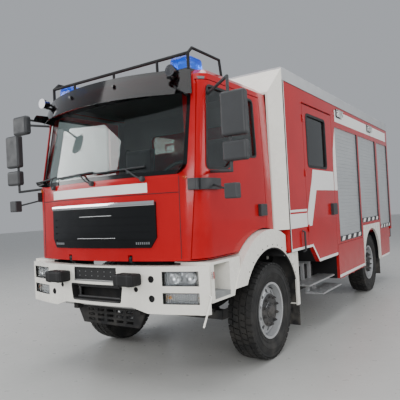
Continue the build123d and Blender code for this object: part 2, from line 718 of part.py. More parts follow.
def fender_outline(inset):
    """Outer line of the fender from the side, drawn in by the inset and open below."""
    r = FENDER_R - inset
    front = -math.sqrt(r**2 - (STEP_TREAD - FENDER_Z)**2)
    meet = BODY_FRONT - 20 - inset
    meet_z = FENDER_Z + math.sqrt(r**2 - meet**2)
    under = CREW_FLOOR - 15 - inset
    rear = LEG_REAR - inset
    low = LEG_LOW - inset
    return make_face([
        ThreePointArc((front, STEP_TREAD), (0, FENDER_Z + r), (meet, meet_z)),
        Line((meet, meet_z), (meet, under)),
        Line((meet, under), (rear, under)),
        Line((rear, under), (rear, low)),
        Line((rear, low), (front, low)),
        Line((front, low), (front, STEP_TREAD)),
    ])


def fender():
    """Left front fender with the entry step housing in front of it."""
    corner_z = FENDER_Z + 4 * (FENDER_Z - LEG_LOW)
    below = LEG_LOW - 100
    mouth = make_face([
        ThreePointArc((-ARCH_R, FENDER_Z), (0, FENDER_Z + ARCH_R), (LEG_FRONT, corner_z)),
        Line((LEG_FRONT, corner_z), (LEG_FRONT, below)),
        Line((LEG_FRONT, below), (-ARCH_R, below)),
        Line((-ARCH_R, below), (-ARCH_R, FENDER_Z)),
    ])
    ahead = Pos(-FENDER_R, STEP_TREAD / 2) * Rectangle(2 * FENDER_R, STEP_TREAD)
    whole = fender_outline(0)
    inside = FENDER_OUT - FENDER_T
    face_plate = run_across((whole - mouth) - ahead, inside, FENDER_OUT)
    liner = run_across((whole - fender_outline(FENDER_T)) - ahead, FENDER_IN, inside)

    housing = block(STEP_IN, FENDER_OUT - 8, STEP_FRONT, -ARCH_R, STEP_LOW, HOUSING_TOP)
    housing -= cross_cylinder(FENDER_R - FENDER_T / 2, 0, FENDER_Z, STEP_IN - CUT, FENDER_OUT + CUT)
    housing -= block(STEP_IN + STEP_WALL, FENDER_OUT + CUT, STEP_FRONT + STEP_WALL, -FENDER_R,
                     STEP_TREAD, HOUSING_TOP - STEP_WALL / 2)
    return face_plate + liner + housing


# Stays from the rail to the fender: outer x, front y, rear y, low z, top z
FENDER_STAYS = [
    (STEP_IN, STEP_FRONT + 42, STEP_FRONT + 102, 900, 960),
    (FENDER_IN + 5, 560, 610, RAIL_TOP - 60, RAIL_TOP),
]


def fender_stays():
    """Brackets that carry the fender and step housing from the rail."""
    stays = [block(RAIL_X, *stay) for stay in FENDER_STAYS]
    return stays[0] + stays[1]


# Mudflaps: inner x, outer x, front y, low z, top z
MUDFLAPS = [
    (FENDER_IN + 10, FENDER_OUT - 10, LEG_REAR - 18, 185, LEG_LOW),
    (WHEEL_X - 156, WHEEL_X + 160, REAR_ARCH_REAR + 45, 215, SKIRT_LOW),
]
MUDFLAP_T = 12


def mudflaps():
    """Rubber sheet behind each wheel."""
    flaps = [pair(block(x0, x1, y, y + MUDFLAP_T, z0, z1)) for x0, x1, y, z0, z1 in MUDFLAPS]
    return flaps[0] + flaps[1]


def well_outline(inset):
    """Outline of the entry well from the side, drawn in by the inset and open above."""
    slope_end = WELL_FRONT + WELL_SLOPE + inset * 0.6
    top = CREW_FLOOR + inset + CUT
    front = WELL_FRONT + inset
    rear = CREW_REAR - inset
    return [(front, CREW_FLOOR + inset), (slope_end, WELL_FLOOR + inset), (rear, WELL_FLOOR + inset),
            (rear, top), (front, top)]


def crew_cabin():
    """Crew cabin: tall box with a stepped floor and a well at each door."""
    half = BODY_HALF
    inside = half - WALL
    outer = block(-half, half, BODY_FRONT, CREW_REAR, CREW_FLOOR, BODY_TOP)
    outer += pair(side_prism(well_outline(0), WELL_IN, half))
    cavity = block(-inside, inside, BODY_FRONT + WALL, CREW_REAR - WALL, CREW_FLOOR + WALL, BODY_TOP - WALL)
    cavity += pair(side_prism(well_outline(WALL), WELL_IN + WALL, inside))
    gap = side_prism(crew_door_points(SEAM), inside, half + CUT)
    return (outer - cavity) - pair(gap)


def crew_door_points(gap):
    """Crew door seen from the side, grown by the gap; its foot goes down to the edge."""
    front = CREW_DOOR_FRONT - gap
    rear = CREW_DOOR_REAR + gap
    top = CREW_DOOR_TOP + gap
    drop = CUT if gap else 0
    return [(front, CREW_FLOOR - drop), (WELL_FRONT, CREW_FLOOR - drop),
            (WELL_FRONT + WELL_SLOPE, WELL_FLOOR - drop), (rear, WELL_FLOOR - drop),
            (rear, top), (front, top)]


# Window in the crew door: front y, rear y, low z, top z
CREW_WINDOW = (CREW_DOOR_FRONT + 114, CREW_DOOR_REAR - 285, CREW_DOOR_TOP - 800, CREW_DOOR_TOP - 110)
CREW_WINDOW_CORNER = 60
# Handle of the crew door: inner x, outer x, front y, rear y, low z, top z
CREW_HANDLE = (BODY_HALF - 4, BODY_HALF + 42, CREW_DOOR_REAR - 205, CREW_DOOR_REAR - 25, 1480, 1640)
# Hinge axis of the crew door just outside the wall, and the feet of the barrels along it
CREW_HINGE_X = BODY_HALF + 9
CREW_HINGE_Y = CREW_DOOR_FRONT - SEAM / 2
CREW_BARRELS = [CREW_FLOOR + 200, CREW_FLOOR + 900, CREW_FLOOR + 1600]
BARREL_R = 8
BARREL_L = 90
LEAF_L = 45
LEAF_T = 4


def crew_door():
    """Left crew door with its handle and hinges, pane apart."""
    y0, y1, z0, z1 = CREW_WINDOW
    window = [(y0, z0), (y1, z0), (y1, z1), (y0, z1)]
    hole = side_prism(window, BODY_HALF - WALL - CUT, BODY_HALF + CUT, CREW_WINDOW_CORNER)
    panel = side_prism(crew_door_points(0), BODY_HALF - WALL, BODY_HALF) - hole
    pane = side_prism(window, BODY_HALF - GLASS_SET - GLASS_T, BODY_HALF - GLASS_SET, CREW_WINDOW_CORNER)
    panel += rounded_block(*CREW_HANDLE, 8)
    leaf_end = CREW_HINGE_Y + LEAF_L
    for z in CREW_BARRELS:
        panel += post(BARREL_R, CREW_HINGE_X, CREW_HINGE_Y, z, z + BARREL_L)
        panel += block(BODY_HALF, BODY_HALF + LEAF_T, CREW_DOOR_FRONT, leaf_end, z, z + BARREL_L)
        panel += block(BODY_HALF + 1.5, BODY_HALF + 6, CREW_HINGE_Y, leaf_end, z, z + BARREL_L)
    return panel, pane


# Side shutters: front y, rear y, low z; they all end at one height
SHUTTER_TOP = BODY_TOP - 330
SHUTTERS = [
    (CREW_REAR + 130, REAR_ARCH_FRONT - 90, FLAP_TOP + 25),
    (REAR_ARCH_FRONT - 30, REAR_ARCH_REAR + 10, REAR_ARCH_TOP + 45),
    (REAR_ARCH_REAR + 120, BODY_REAR - 70, REAR_SILL_LOW + 55),
]
# Rear shutter: half width, low z
REAR_SHUTTER = (BODY_HALF - 630, REAR_SILL_LOW + 75)
SHUTTER_SET = 22
SHUTTER_T = 20
GUIDE_W = 20
SLAT = 55
GROOVE = 4
FOOT_H = 80


def slat_profile(low, face):
    """Stack of slats with a shallow groove between them, as (depth, height) points."""
    points = [(face - SHUTTER_T, low), (face, low)]
    count = int((SHUTTER_TOP - low - FOOT_H) // SLAT)
    for i in range(count):
        z = low + FOOT_H + SLAT * i
        points += [(face, z), (face - GROOVE, z + GROOVE), (face - GROOVE, z + 2 * GROOVE),
                   (face, z + 3 * GROOVE)]
    return points + [(face, SHUTTER_TOP), (face - SHUTTER_T, SHUTTER_TOP)]


def roller_shutters():
    """Closed slatted curtains of the side compartments and the rear."""
    curtains = []
    for y0, y1, low in SHUTTERS:
        curtain = front_prism(slat_profile(low, BODY_HALF - SHUTTER_SET), y0, y1)
        curtains += [curtain, other_side(curtain)]
    half, low = REAR_SHUTTER
    curtains.append(side_prism(slat_profile(low, BODY_REAR - SHUTTER_SET), -half, half))
    return Compound(children=curtains)


# Locker flap's hinge rod, with three straps under it
FLAP_ROD_R = 5
FLAP_HINGE_Z = SKIRT_LOW + 10
FLAP_LENGTH = FLAP_REAR - 5 - FLAP_FRONT
STRAP_HALF = 40
STRAP_INSET = 190


def flap_rod(radius):
    """Round rod along the lower edge of the left locker flap, on its hinge axis."""
    middle = FLAP_FRONT + FLAP_LENGTH / 2
    return Pos(BODY_HALF, middle, FLAP_HINGE_Z) * Rot(90, 0, 0) * Cylinder(radius, FLAP_LENGTH)


def locker_flap():
    """Left locker flap that folds down about its lower edge."""
    panel = block(BODY_HALF - FLAP_T, BODY_HALF, FLAP_FRONT, FLAP_FRONT + FLAP_LENGTH,
                  FLAP_HINGE_Z, FLAP_TOP - 5)
    return panel + flap_rod(FLAP_ROD_R)


def guides(y0, y1, low):
    """Shutter guides behind the two edges of one left side curtain."""
    face = BODY_HALF - SHUTTER_SET - SHUTTER_T
    rails = [block(BODY_HALF - WALL, face, y, y + GUIDE_W, low, SHUTTER_TOP) for y in (y0, y1 - GUIDE_W)]
    return rails[0] + rails[1]


def lower_locker():
    """Left locker ahead of the rear wheel, open towards the side, with its sill and hinge straps."""
    out = BODY_HALF - FLAP_T - 5
    y0 = CREW_REAR + 2
    board = 40
    locker = block(WELL_IN, out, y0, FLAP_REAR, FLAP_HINGE_Z, CREW_FLOOR)
    locker -= block(WELL_IN + board, out + CUT, y0 + board, FLAP_REAR - board,
                    FLAP_HINGE_Z + board, FLAP_TOP - board)
    locker += block(out - 60, BODY_HALF, CREW_REAR, REAR_ARCH_FRONT, FLAP_TOP, CREW_FLOOR)
    for y in (CREW_REAR + STRAP_INSET, (CREW_REAR + FLAP_REAR) / 2, FLAP_REAR - STRAP_INSET):
        locker += block(out - 80, BODY_HALF + 6, y - STRAP_HALF, y + STRAP_HALF,
                        SKIRT_LOW, FLAP_HINGE_Z - SEAT)
    return locker - flap_rod(FLAP_ROD_R + SEAT)


def skirt():
    """Left skirt behind the rear wheel, stepped up at the back."""
    board = 40
    front = REAR_ARCH_REAR
    rear = SKIRT_REAR
    outer = side_prism([
        (front, SKIRT_LOW), (rear - 60, SKIRT_LOW), (rear, SKIRT_LOW + 80), (rear + 30, CREW_FLOOR),
        (front, CREW_FLOOR)], WELL_IN, BODY_HALF)
    inner = side_prism([
        (front + board, SKIRT_LOW + board), (rear - 75, SKIRT_LOW + board), (rear - 40, SKIRT_LOW + 90),
        (rear - 15, CREW_FLOOR), (front + board, CREW_FLOOR)], WELL_IN - CUT, BODY_HALF - board)
    return outer - inner


# Depth of the recess that takes the white arch panel, and how far the panel stands out
ARCH_RECESS = 30
ARCH_STEP = 6
SILL_DEPTH = 90


def equipment_body():
    """Hollow body behind the crew cabin with lower lockers and rear skirts."""
    half = BODY_HALF
    y1 = BODY_REAR
    inside = half - WALL
    shell = block(-half, half, CREW_REAR, y1, CREW_FLOOR, BODY_TOP)
    shell -= block(-inside, inside, CREW_REAR + WALL, y1 - WALL, CREW_FLOOR + WALL, BODY_TOP - WALL)
    for a, b, low in SHUTTERS:
        shell -= pair(block(inside - CUT, half + CUT, a, b, low, SHUTTER_TOP))
        shell += pair(guides(a, b, low))
    rear_half, rear_low = REAR_SHUTTER
    shell -= block(-rear_half, rear_half, y1 - WALL - CUT, y1 + CUT, rear_low, SHUTTER_TOP)
    rear_guide = block(rear_half - GUIDE_W, rear_half, y1 - WALL, y1 - SHUTTER_SET - SHUTTER_T,
                       rear_low, SHUTTER_TOP)
    shell += pair(rear_guide) + pair(lower_locker()) + pair(skirt())

    # Rear sill that holds the lamps, and room for the curtains that reach below the floor
    shell += block(-half, half, y1 - SILL_DEPTH, y1, REAR_SILL_LOW, CREW_FLOOR)
    for a, b, low in SHUTTERS:
        shell -= pair(block(half - SHUTTER_SET - SHUTTER_T, half + CUT, a, b, low, SHUTTER_TOP))
    shell += pair(block(WELL_IN, half, REAR_ARCH_FRONT - 5, REAR_ARCH_REAR + 5,
                        CREW_FLOOR, CREW_FLOOR + WALL))
    return shell - pair(block(half - ARCH_RECESS, half + CUT, REAR_ARCH_FRONT, REAR_ARCH_REAR,
                              0, REAR_ARCH_TOP))


# Centre height of the rear wheel opening
ARCH_Z = TYRE_R + 60


def rear_arch_panel():
    """White panel over the left rear wheel."""
    x0 = BODY_HALF - ARCH_RECESS
    x1 = BODY_HALF + ARCH_STEP
    panel = block(x0, x1, REAR_ARCH_FRONT + 1, REAR_ARCH_REAR - 1, SKIRT_LOW, REAR_ARCH_TOP - 1)
    panel -= cross_cylinder(REAR_ARCH_R, WHEELBASE, ARCH_Z, x0 - CUT, x1 + CUT)
    return panel - block(x0 - CUT, x1 + CUT, WHEELBASE - REAR_ARCH_R, WHEELBASE + REAR_ARCH_R, 0, ARCH_Z)


# Fairing frame: half width and top by the cab, height of its foot, thickness
FAIRING_NEAR_HALF = CAB_HALF + 10
FAIRING_NEAR_TOP = CAB_ROOF - 30
FAIRING_FAR_TOP = ROOF_TOP - 20
FAIRING_FOOT = CREW_FLOOR + 270
FAIRING_T = 26


def fairing_frame():
    """Mitred frame that fills the step between the cab and the wider body."""
    def rectangle(y, half, low, top):
        """Upright rectangle across the vehicle."""
        return Plane.XZ.offset(-y) * make_face(Polyline(
            (-half, low), (half, low), (half, top), (-half, top), close=True))

    def ring(inset, low):
        """Solid between the two rectangles, drawn in by the inset."""
        near = rectangle(CAB_REAR + 15, FAIRING_NEAR_HALF - inset, low, FAIRING_NEAR_TOP - inset)
        far = rectangle(BODY_FRONT, BODY_HALF - inset, low, FAIRING_FAR_TOP - inset)
        return loft([near, far], ruled=True)

    return ring(0, FAIRING_FOOT) - ring(FAIRING_T, FAIRING_FOOT - 100)


DECK_T = 22
RIM_T = 60
WALKWAY_IN = 820 - BODY_HALF
WALKWAY_T = 4


def roof_deck():
    """Deck plate with the aluminium rim all round and a walkway beside the ladder."""
    half = BODY_HALF
    deck = BODY_TOP + DECK_T
    rim = block(-half, half, BODY_FRONT, BODY_REAR, BODY_TOP, ROOF_TOP)
    rim -= block(RIM_T - half, half - RIM_T, BODY_FRONT + RIM_T, BODY_REAR - RIM_T, deck, ROOF_TOP + CUT)
    edge = RIM_T + 30
    return rim + block(WALKWAY_IN, half - edge, BODY_FRONT + edge, BODY_REAR - edge, deck, deck + WALKWAY_T)


# Ladder on the roof: front, rear, outer and inner side, rail section, rung radius and pitch
LADDER_FRONT = CREW_REAR - 700
LADDER_REAR = BODY_REAR - 650
LADDER_OUT = 270 - BODY_HALF
LADDER_IN = 690 - BODY_HALF
LADDER_RAIL = (28, 75)
LADDER_LIFT = 80
RUNG_R = 15
RUNG_PITCH = 293
RUNG_END = 140
BEARER_INSET = 500


def roof_ladder():
    """Ladder lying on two cross bearers."""
    thick, tall = LADDER_RAIL
    deck = BODY_TOP + DECK_T
    low = deck + LADDER_LIFT
    whole = block(LADDER_OUT, LADDER_OUT + thick, LADDER_FRONT, LADDER_REAR, low, low + tall)
    whole += block(LADDER_IN - thick, LADDER_IN, LADDER_FRONT, LADDER_REAR, low, low + tall)
    count = int((LADDER_REAR - LADDER_FRONT - 2 * RUNG_END) // RUNG_PITCH) + 1
    for i in range(count):
        y = LADDER_FRONT + RUNG_END + RUNG_PITCH * i
        whole += cross_cylinder(RUNG_R, y, low + tall / 2, LADDER_OUT + CUT, LADDER_IN - CUT)
    for y in (LADDER_FRONT + BEARER_INSET, LADDER_REAR - BEARER_INSET):
        whole += block(LADDER_OUT - 40, LADDER_IN + 40, y - 30, y + 30, deck, low)
    return whole


# Rear ladder: its two sides, distance behind the body, lower and upper fixing, tube and rungs
CLIMB_SIDES = (265 - BODY_HALF, 575 - BODY_HALF)
CLIMB_Y = BODY_REAR + 85
CLIMB_LOW = REAR_SILL_LOW + 35
CLIMB_TOP = BODY_TOP - 60
CLIMB_R = 17
CLIMB_RUNG_R = 14
CLIMB_RUNGS = 7

# Treads below the crew door: inner x, outer x, front y, rear y, low z
TREADS = [
    (BODY_HALF - 300, BODY_HALF - 50, CREW_REAR - 1100, CREW_REAR - 100, 590),
    (BODY_HALF - 240, BODY_HALF + 15, CREW_REAR - 800, CREW_REAR - 5, 440),
]
TREAD_T = 20
HANGERS = [CREW_REAR - 750, CREW_REAR - 500]
HANGER = 40


def rear_climb():
    """Ladder on the back of the body, up to the roof."""
    x0, x1 = CLIMB_SIDES
    sides = [bent_tube([(x, BODY_REAR, CLIMB_TOP), (x, CLIMB_Y, CLIMB_TOP), (x, CLIMB_Y, CLIMB_LOW),
                        (x, BODY_REAR, CLIMB_LOW)], CLIMB_R) for x in CLIMB_SIDES]
    whole = sides[0] + sides[1]
    pitch = (CLIMB_TOP - CLIMB_LOW) / CLIMB_RUNGS
    for i in range(CLIMB_RUNGS):
        whole += cross_cylinder(CLIMB_RUNG_R, CLIMB_Y, CLIMB_LOW + pitch * (i + 0.5), x0, x1)
    return whole


def access_treads():
    """Two treads below the left crew door on their hangers."""
    (upper_in, upper_out, y0, y1, upper_low), (lower_in, lower_out, y2, y3, lower_low) = TREADS
    whole = block(upper_in, upper_out, y0, y1, upper_low, upper_low + TREAD_T)
    whole += block(lower_in, lower_out, y2, y3, lower_low, lower_low + TREAD_T)
    arm_low = RAIL_LOW
    for y in HANGERS:
        whole += block(RAIL_X, upper_in + CUT, y, y + HANGER, arm_low, arm_low + HANGER)
        whole += block(upper_in - CUT, upper_in - CUT + HANGER, y, y + HANGER, upper_low, arm_low + HANGER)
        whole += block(lower_in - CUT, lower_in - CUT + HANGER, y, y + HANGER, lower_low, upper_low + CUT)
    return whole


# Underrun bar: half width, front y, rear y, low z, top z
UNDERRUN = (BODY_HALF - 120, BODY_REAR - 110, BODY_REAR - 30, 500, 610)
# Tow jaw: pin's y, height of its middle, head radius, half height, half gap for the eye, pin radius
JAW_Y = TAIL - 70
JAW_Z = 920
JAW_R = 70
JAW_H = 60
JAW_GAP = 30
JAW_PIN_R = 20
JAW_PLATE = (RAIL_X - 80, 85)


def rear_underrun():
    """Underrun bar on its hangers and the tow jaw on its plate."""
    half, y0, y1, low, top = UNDERRUN
    guard = block(-half, half, y0, y1, low, top)
    guard += pair(block(RAIL_X - 70, RAIL_X, y0 - 100, y0, low + CUT, RAIL_LOW))
    jaw = block(-JAW_R, JAW_R, RAIL_REAR, JAW_Y + CUT, JAW_Z - JAW_H, JAW_Z + JAW_H)
    jaw += post(JAW_R, 0, JAW_Y, JAW_Z - JAW_H, JAW_Z + JAW_H)
    jaw -= block(CUT - JAW_R, JAW_R - CUT, JAW_Y - 80, TAIL + CUT, JAW_Z - JAW_GAP, JAW_Z + JAW_GAP)
    jaw -= post(JAW_PIN_R, 0, JAW_Y, JAW_Z - JAW_H - CUT, JAW_Z + JAW_H + CUT)
    half, tall = JAW_PLATE
    jaw += block(-half, half, RAIL_REAR - 25, RAIL_REAR + 20, JAW_Z - tall + 5, JAW_Z + tall + 5)
    return guard + jaw


# Rear lamp clusters and body beacons: inner x, outer x, front y, rear y, low z, top z, corner
REAR_LAMP = (BODY_HALF - 350, BODY_HALF - 40, BODY_REAR - 70, BODY_REAR,
             REAR_SILL_LOW - 170, REAR_SILL_LOW, 10)
BODY_BEACON = (BODY_HALF - 210, BODY_HALF - 25, BODY_REAR, BODY_REAR + 120,
               ROOF_TOP - 230, ROOF_TOP - 15, 30)

# Engine block and its four lugs: half width, front y, rear y, low z, top z
ENGINE = (330, -800, 250, RAIL_LOW - 160, RAIL_TOP + 80)
ENGINE_LUGS = [(-560, -480), (60, 140)]


def engine_block():
    """Plain block between the rails on four lugs."""
    half, y0, y1, low, top = ENGINE
    body = block(-half, half, y0, y1, low, top)
    for a, b in ENGINE_LUGS:
        body += pair(block(half, RAIL_X - RAIL_T, a, b, RAIL_LOW + 80, RAIL_TOP - 120))
    return body


# Gearbox behind the engine: radius in front, radius behind, length
GEARBOX = (230, 130, 700)
GEARBOX_Z = RAIL_TOP - 180
SHAFT_R = 40


def driveline():
    """Gearbox and the shaft to the rear axle."""
    front_r, rear_r, length = GEARBOX
    front = ENGINE[2]
    rear = front + length
    gearbox = Pos(0, (front + rear) / 2, GEARBOX_Z) * Rot(-90, 0, 0) * Cone(front_r, rear_r, length)
    return gearbox + bar((0, rear - 5, GEARBOX_Z - 100), (0, WHEELBASE - 300, TYRE_R), SHAFT_R)


# Fuel tank on the left: outer x, front y, rear y, low z, top z; its straps' places
FUEL_TANK = (BODY_HALF - 350, CREW_REAR - 1020, CREW_REAR - 140, RAIL_LOW - 360, RAIL_LOW - 20)
# Silencer on the right: its inner and outer side and the height of its middle
SILENCER_IN = RAIL_X + 90
SILENCER_OUT = BODY_HALF - 390
SILENCER_Z = RAIL_LOW - 190
STRAPS = [CREW_REAR - 900, CREW_REAR - 300]
STRAP_W = 60


def chassis_tanks():
    """Fuel tank on the left and the silencer on the right."""
    out, y0, y1, low, top = FUEL_TANK
    fuel = rounded_block(RAIL_X + 20, out, y0, y1, low, top, 60)
    radius = (SILENCER_OUT - SILENCER_IN) / 2
    x = (SILENCER_OUT + SILENCER_IN) / 2
    silencer = Pos(x, (y0 + y1) / 2, SILENCER_Z) * Rot(90, 0, 0) * Cylinder(radius, y1 - y0)
    for y in STRAPS:
        fuel += block(RAIL_X, (RAIL_X + out) / 2, y, y + STRAP_W, top - 20, RAIL_LOW + 60)
        silencer += block(RAIL_X, x, y, y + STRAP_W, SILENCER_Z + radius / 2, RAIL_LOW + 60)
    return fuel + other_side(silencer)


# Seat: cushion from its front to its rear, thickness, and the back's foot, lean and height
SEAT_FRONT = -250
SEAT_REAR = 230
CUSHION_T = 120
BACK_FOOT = 120
BACK_T = 120
BACK_LEAN = 90
BACK_TOP = 800
CAB_SEAT_Z = CAB_WAIST - 280
CAB_SEAT_HALF = 240
CAB_SEAT_Y = CAB_REAR - 545
CREW_SEAT_Z = CREW_FLOOR + 350
CREW_SEAT_HALF = 250
CREW_SEAT_Y = CREW_REAR - 410
SEAT_GAP = 30


def seat(x, y, seat_z, half):
    """Cushion and back of one seat, plain soft solids."""
    top = seat_z + CUSHION_T
    foot = y + BACK_FOOT
    cushion = block(x - half, x + half, y + SEAT_FRONT, y + SEAT_REAR, seat_z + SEAT, top)
    back = side_prism([
        (foot, top + SEAT), (foot + BACK_T, top + SEAT), (foot + BACK_T + BACK_LEAN - 20, seat_z + BACK_TOP),
        (foot + BACK_LEAN, seat_z + BACK_TOP)], x - half + 10, x + half - 10)
    return [cushion, back]


def cab_seats():
    """Driver's and passenger's seats on plinths that follow the floor over the axle."""
    hump = cross_cylinder(FLOOR_ARCH_R + WALL + SEAT, 0, FENDER_Z, -CAB_HALF, CAB_HALF)
    pieces = []
    for x in (CAB_HALF / 2, -CAB_HALF / 2):
        plinth = block(x - CAB_SEAT_HALF + 40, x + CAB_SEAT_HALF - 40, CAB_SEAT_Y - 210, CAB_SEAT_Y + 230,
                       CAB_BOTTOM + WALL + SEAT, CAB_SEAT_Z)
        pieces.append(plinth - hump)
        pieces += seat(x, CAB_SEAT_Y, CAB_SEAT_Z, CAB_SEAT_HALF)
    return Compound(children=[p for piece in pieces for p in piece.solids()])


def crew_seats():
    """Bench box across the cabin with four seats."""
    half = BODY_HALF - 130
    pieces = [block(-half, half, CREW_SEAT_Y - 130, CREW_SEAT_Y + 200, CREW_FLOOR + WALL + SEAT, CREW_SEAT_Z)]
    pitch = 2 * CREW_SEAT_HALF + 2 * SEAT_GAP
    for i in range(4):
        pieces += seat(pitch * (i - 1.5), CREW_SEAT_Y, CREW_SEAT_Z, CREW_SEAT_HALF)
    return Compound(children=pieces)


# Dashboard from the side: y, z; and its half width
DASH_OUTLINE = [
    (AHEAD, CAB_WAIST - 400), (CAB_FRONT + 280, CAB_WAIST - 400), (CAB_FRONT + 450, CAB_WAIST - 260),
    (CAB_FRONT + 450, CAB_WAIST - 120), (CAB_FRONT + 350, CAB_WAIST - 10), (AHEAD, CAB_WAIST - 10),
]
DASH_HALF = CAB_HALF - 135
# Steering wheel: its centre, tilt, ring, rim tube, hub and spoke half width
WHEEL_CENTRE = (CAB_HALF / 2, CAB_FRONT + 610, CAB_WAIST)
WHEEL_TILT = 62
RING_R = 225
RING_TUBE = 16
STEER_HUB_R = 55
SPOKE_HALF = 16
SPOKES = (0, 180, 270)
COLUMN_R = 32


def dashboard():
    """Dashboard across the cab with the steering wheel on the left."""
    dash = cab_form(WALL + SEAT, CAB_BOTTOM + WALL, WALL) & side_prism(DASH_OUTLINE, -DASH_HALF, DASH_HALF)
    dash -= pair(run_across(door_outline(SEAM), DASH_HALF - 80, SIDE_OUT))
    dash -= pair(post(SWING_R, HINGE_X, HINGE_Y, CAB_BOTTOM, CAB_WAIST))
    x, y, z = WHEEL_CENTRE
    tilt = Pos(x, y, z) * Rot(WHEEL_TILT, 0, 0)
    wheel = tilt * Torus(RING_R, RING_TUBE) + tilt * Cylinder(STEER_HUB_R, 40)
    for angle in SPOKES:
        wheel += tilt * Rot(0, 0, angle) * block(40, RING_R - 3, -SPOKE_HALF, SPOKE_HALF, -8, 8)
    return dash + wheel + bar(WHEEL_CENTRE, (x, y - 210, z - 110), COLUMN_R)


# Grille panel from the front: x, z of its left half, thickness, and its grooves
GRILLE_HALF = CAB_HALF - 415
GRILLE = [(GRILLE_HALF, CAB_BOTTOM + 545), (GRILLE_HALF, CAB_BOTTOM + 215),
          (GRILLE_HALF - 60, CAB_BOTTOM + 125)]
GRILLE_T = 14
GRILLE_GROOVES = 4
GROOVE_HALF = GRILLE_HALF - 55
GROOVE_LOW = CAB_BOTTOM + 195
GROOVE_PITCH = 70
GROOVE_H = 12
GROOVE_DEPTH = 8


def grille_panel():
    """Black grille on the front of the cab with shallow grooves across it."""
    panel = (cab_form(-GRILLE_T) - cab_form(0)) & front_prism(both_halves(GRILLE), AHEAD, BUMPER_REAR)
    rim = cab_form(-GRILLE_T - CUT) - cab_form(GROOVE_DEPTH - GRILLE_T)
    for i in range(GRILLE_GROOVES):
        z = GROOVE_LOW + GROOVE_PITCH * i
        panel -= rim & block(-GROOVE_HALF, GROOVE_HALF, AHEAD, BUMPER_REAR, z, z + GROOVE_H)
    return panel


# Visor in plan: half width, y at the ends, y in the middle, height; lower edge then upper edge
VISOR_EDGES = [
    (CAB_HALF - 85, CAB_FRONT + 260, CAB_FRONT - 70, CAB_HEADER - 115),
    (CAB_HALF - 135, CAB_FRONT + 335, CAB_FRONT + 65, CAB_HEADER + 135),
]
VISOR_T = 9
# Stays of the visor: x, front y
VISOR_STAYS = [(CAB_HALF - 260, CAB_FRONT + 150), (300, CAB_FRONT + 10)]
VISOR_STAY_HALF = 12
VISOR_STAY_Z = CAB_HEADER + 32
# Tube of the mirror over the right front corner, and the mirror's head
FRONT_ARM = [
    (105 - CAB_HALF, CAB_FRONT + 480, CAB_HEADER - 85),
    (115 - CAB_HALF, CAB_FRONT + 60, CAB_HEADER - 85),
    (205 - CAB_HALF, CAB_FRONT - 120, CAB_HEADER - 130),
]
FRONT_ARM_R = 12
FRONT_HEAD = (90 - CAB_HALF, 320 - CAB_HALF, CAB_FRONT - 160, CAB_FRONT - 80,
              CAB_HEADER - 285, CAB_HEADER - 85, 30)


def visor_section(half, end_y, mid_y, height):
    """Level section through the visor's bowed sheet."""
    return Pos(0, 0, height) * make_face([
        ThreePointArc((half, end_y), (0, mid_y), (-half, end_y)),
        Line((-half, end_y), (-half, end_y + VISOR_T)),
        ThreePointArc((-half, end_y + VISOR_T), (0, mid_y + VISOR_T), (half, end_y + VISOR_T)),
        Line((half, end_y + VISOR_T), (half, end_y)),
    ])


def sun_visor():
    """Smoked visor that leans forward over the windscreen, on four stays."""
    sheet = loft([visor_section(*edge) for edge in VISOR_EDGES], ruled=True)
    stays = [pair(block(x - VISOR_STAY_HALF, x + VISOR_STAY_HALF, y, BEHIND, VISOR_STAY_Z, VISOR_STAY_Z + 20))
             for x, y in VISOR_STAYS]
    return (sheet + stays) - cab_form(0) - bent_tube(FRONT_ARM, FRONT_ARM_R + SEAT)


def front_mirror():
    """Mirror that looks down over the right front corner."""
    return (rounded_block(*FRONT_HEAD) + bent_tube(FRONT_ARM, FRONT_ARM_R)) - cab_form(0)


# Guard rail over the front of the roof
GUARD_Y = CAB_FRONT + 360
GUARD_TOP = CAB_ROOF + 130
GUARD_SIDE_TOP = CAB_ROOF + 195
GUARD_SIDE_FRONT = GUARD_Y + 70
GUARD_REAR = CAB_FRONT + 930
GUARD_HALF = CAB_HALF - 170
GUARD_FOOT = CAB_EDGE - 40
GUARD_POSTS = [-600, 0, 580]
GUARD_R = 16
GUARD_SIDE_R = 14


def guard_rail():
    """Black tube rail with a bar across the front and a raised bar on each side."""
    front = bent_tube([(-GUARD_HALF, GUARD_Y, GUARD_FOOT), (-GUARD_HALF, GUARD_Y, GUARD_TOP),
                       (GUARD_HALF, GUARD_Y, GUARD_TOP), (GUARD_HALF, GUARD_Y, GUARD_FOOT)], GUARD_R)
    for x in GUARD_POSTS:
        front += post(GUARD_SIDE_R, x, GUARD_Y, GUARD_FOOT, GUARD_TOP)
    side = bent_tube([(GUARD_HALF, GUARD_Y, GUARD_TOP), (GUARD_HALF, GUARD_SIDE_FRONT, GUARD_SIDE_TOP),
                      (GUARD_HALF, GUARD_REAR, GUARD_SIDE_TOP), (GUARD_HALF, GUARD_REAR + 50, CAB_EDGE)],
                     GUARD_SIDE_R)
    return (front + pair(side)) - cab_form(0)


# Beacons on the cab roof: inner x, outer x, front y, rear y, low z, top z, corner
CAB_BEACON = (CAB_HALF - 430, CAB_HALF - 195, CAB_FRONT + 400, CAB_FRONT + 670,
              CAB_ROOF - 80, CAB_ROOF + 150, 48)
# Horns: x, height, front and rear of the trumpet, its two radii, stalk radius
HORN_X = CAB_HALF - 225
HORN_Z = CAB_ROOF - 75
HORN_MOUTH = CAB_FRONT + 135
HORN_BACK = CAB_FRONT + 225
HORN_RADII = (36, 54)
HORN_STALK_R = 14


def cab_beacons():
    """Blue lamp at each front corner of the roof."""
    return pair(rounded_block(*CAB_BEACON)) - cab_form(0)


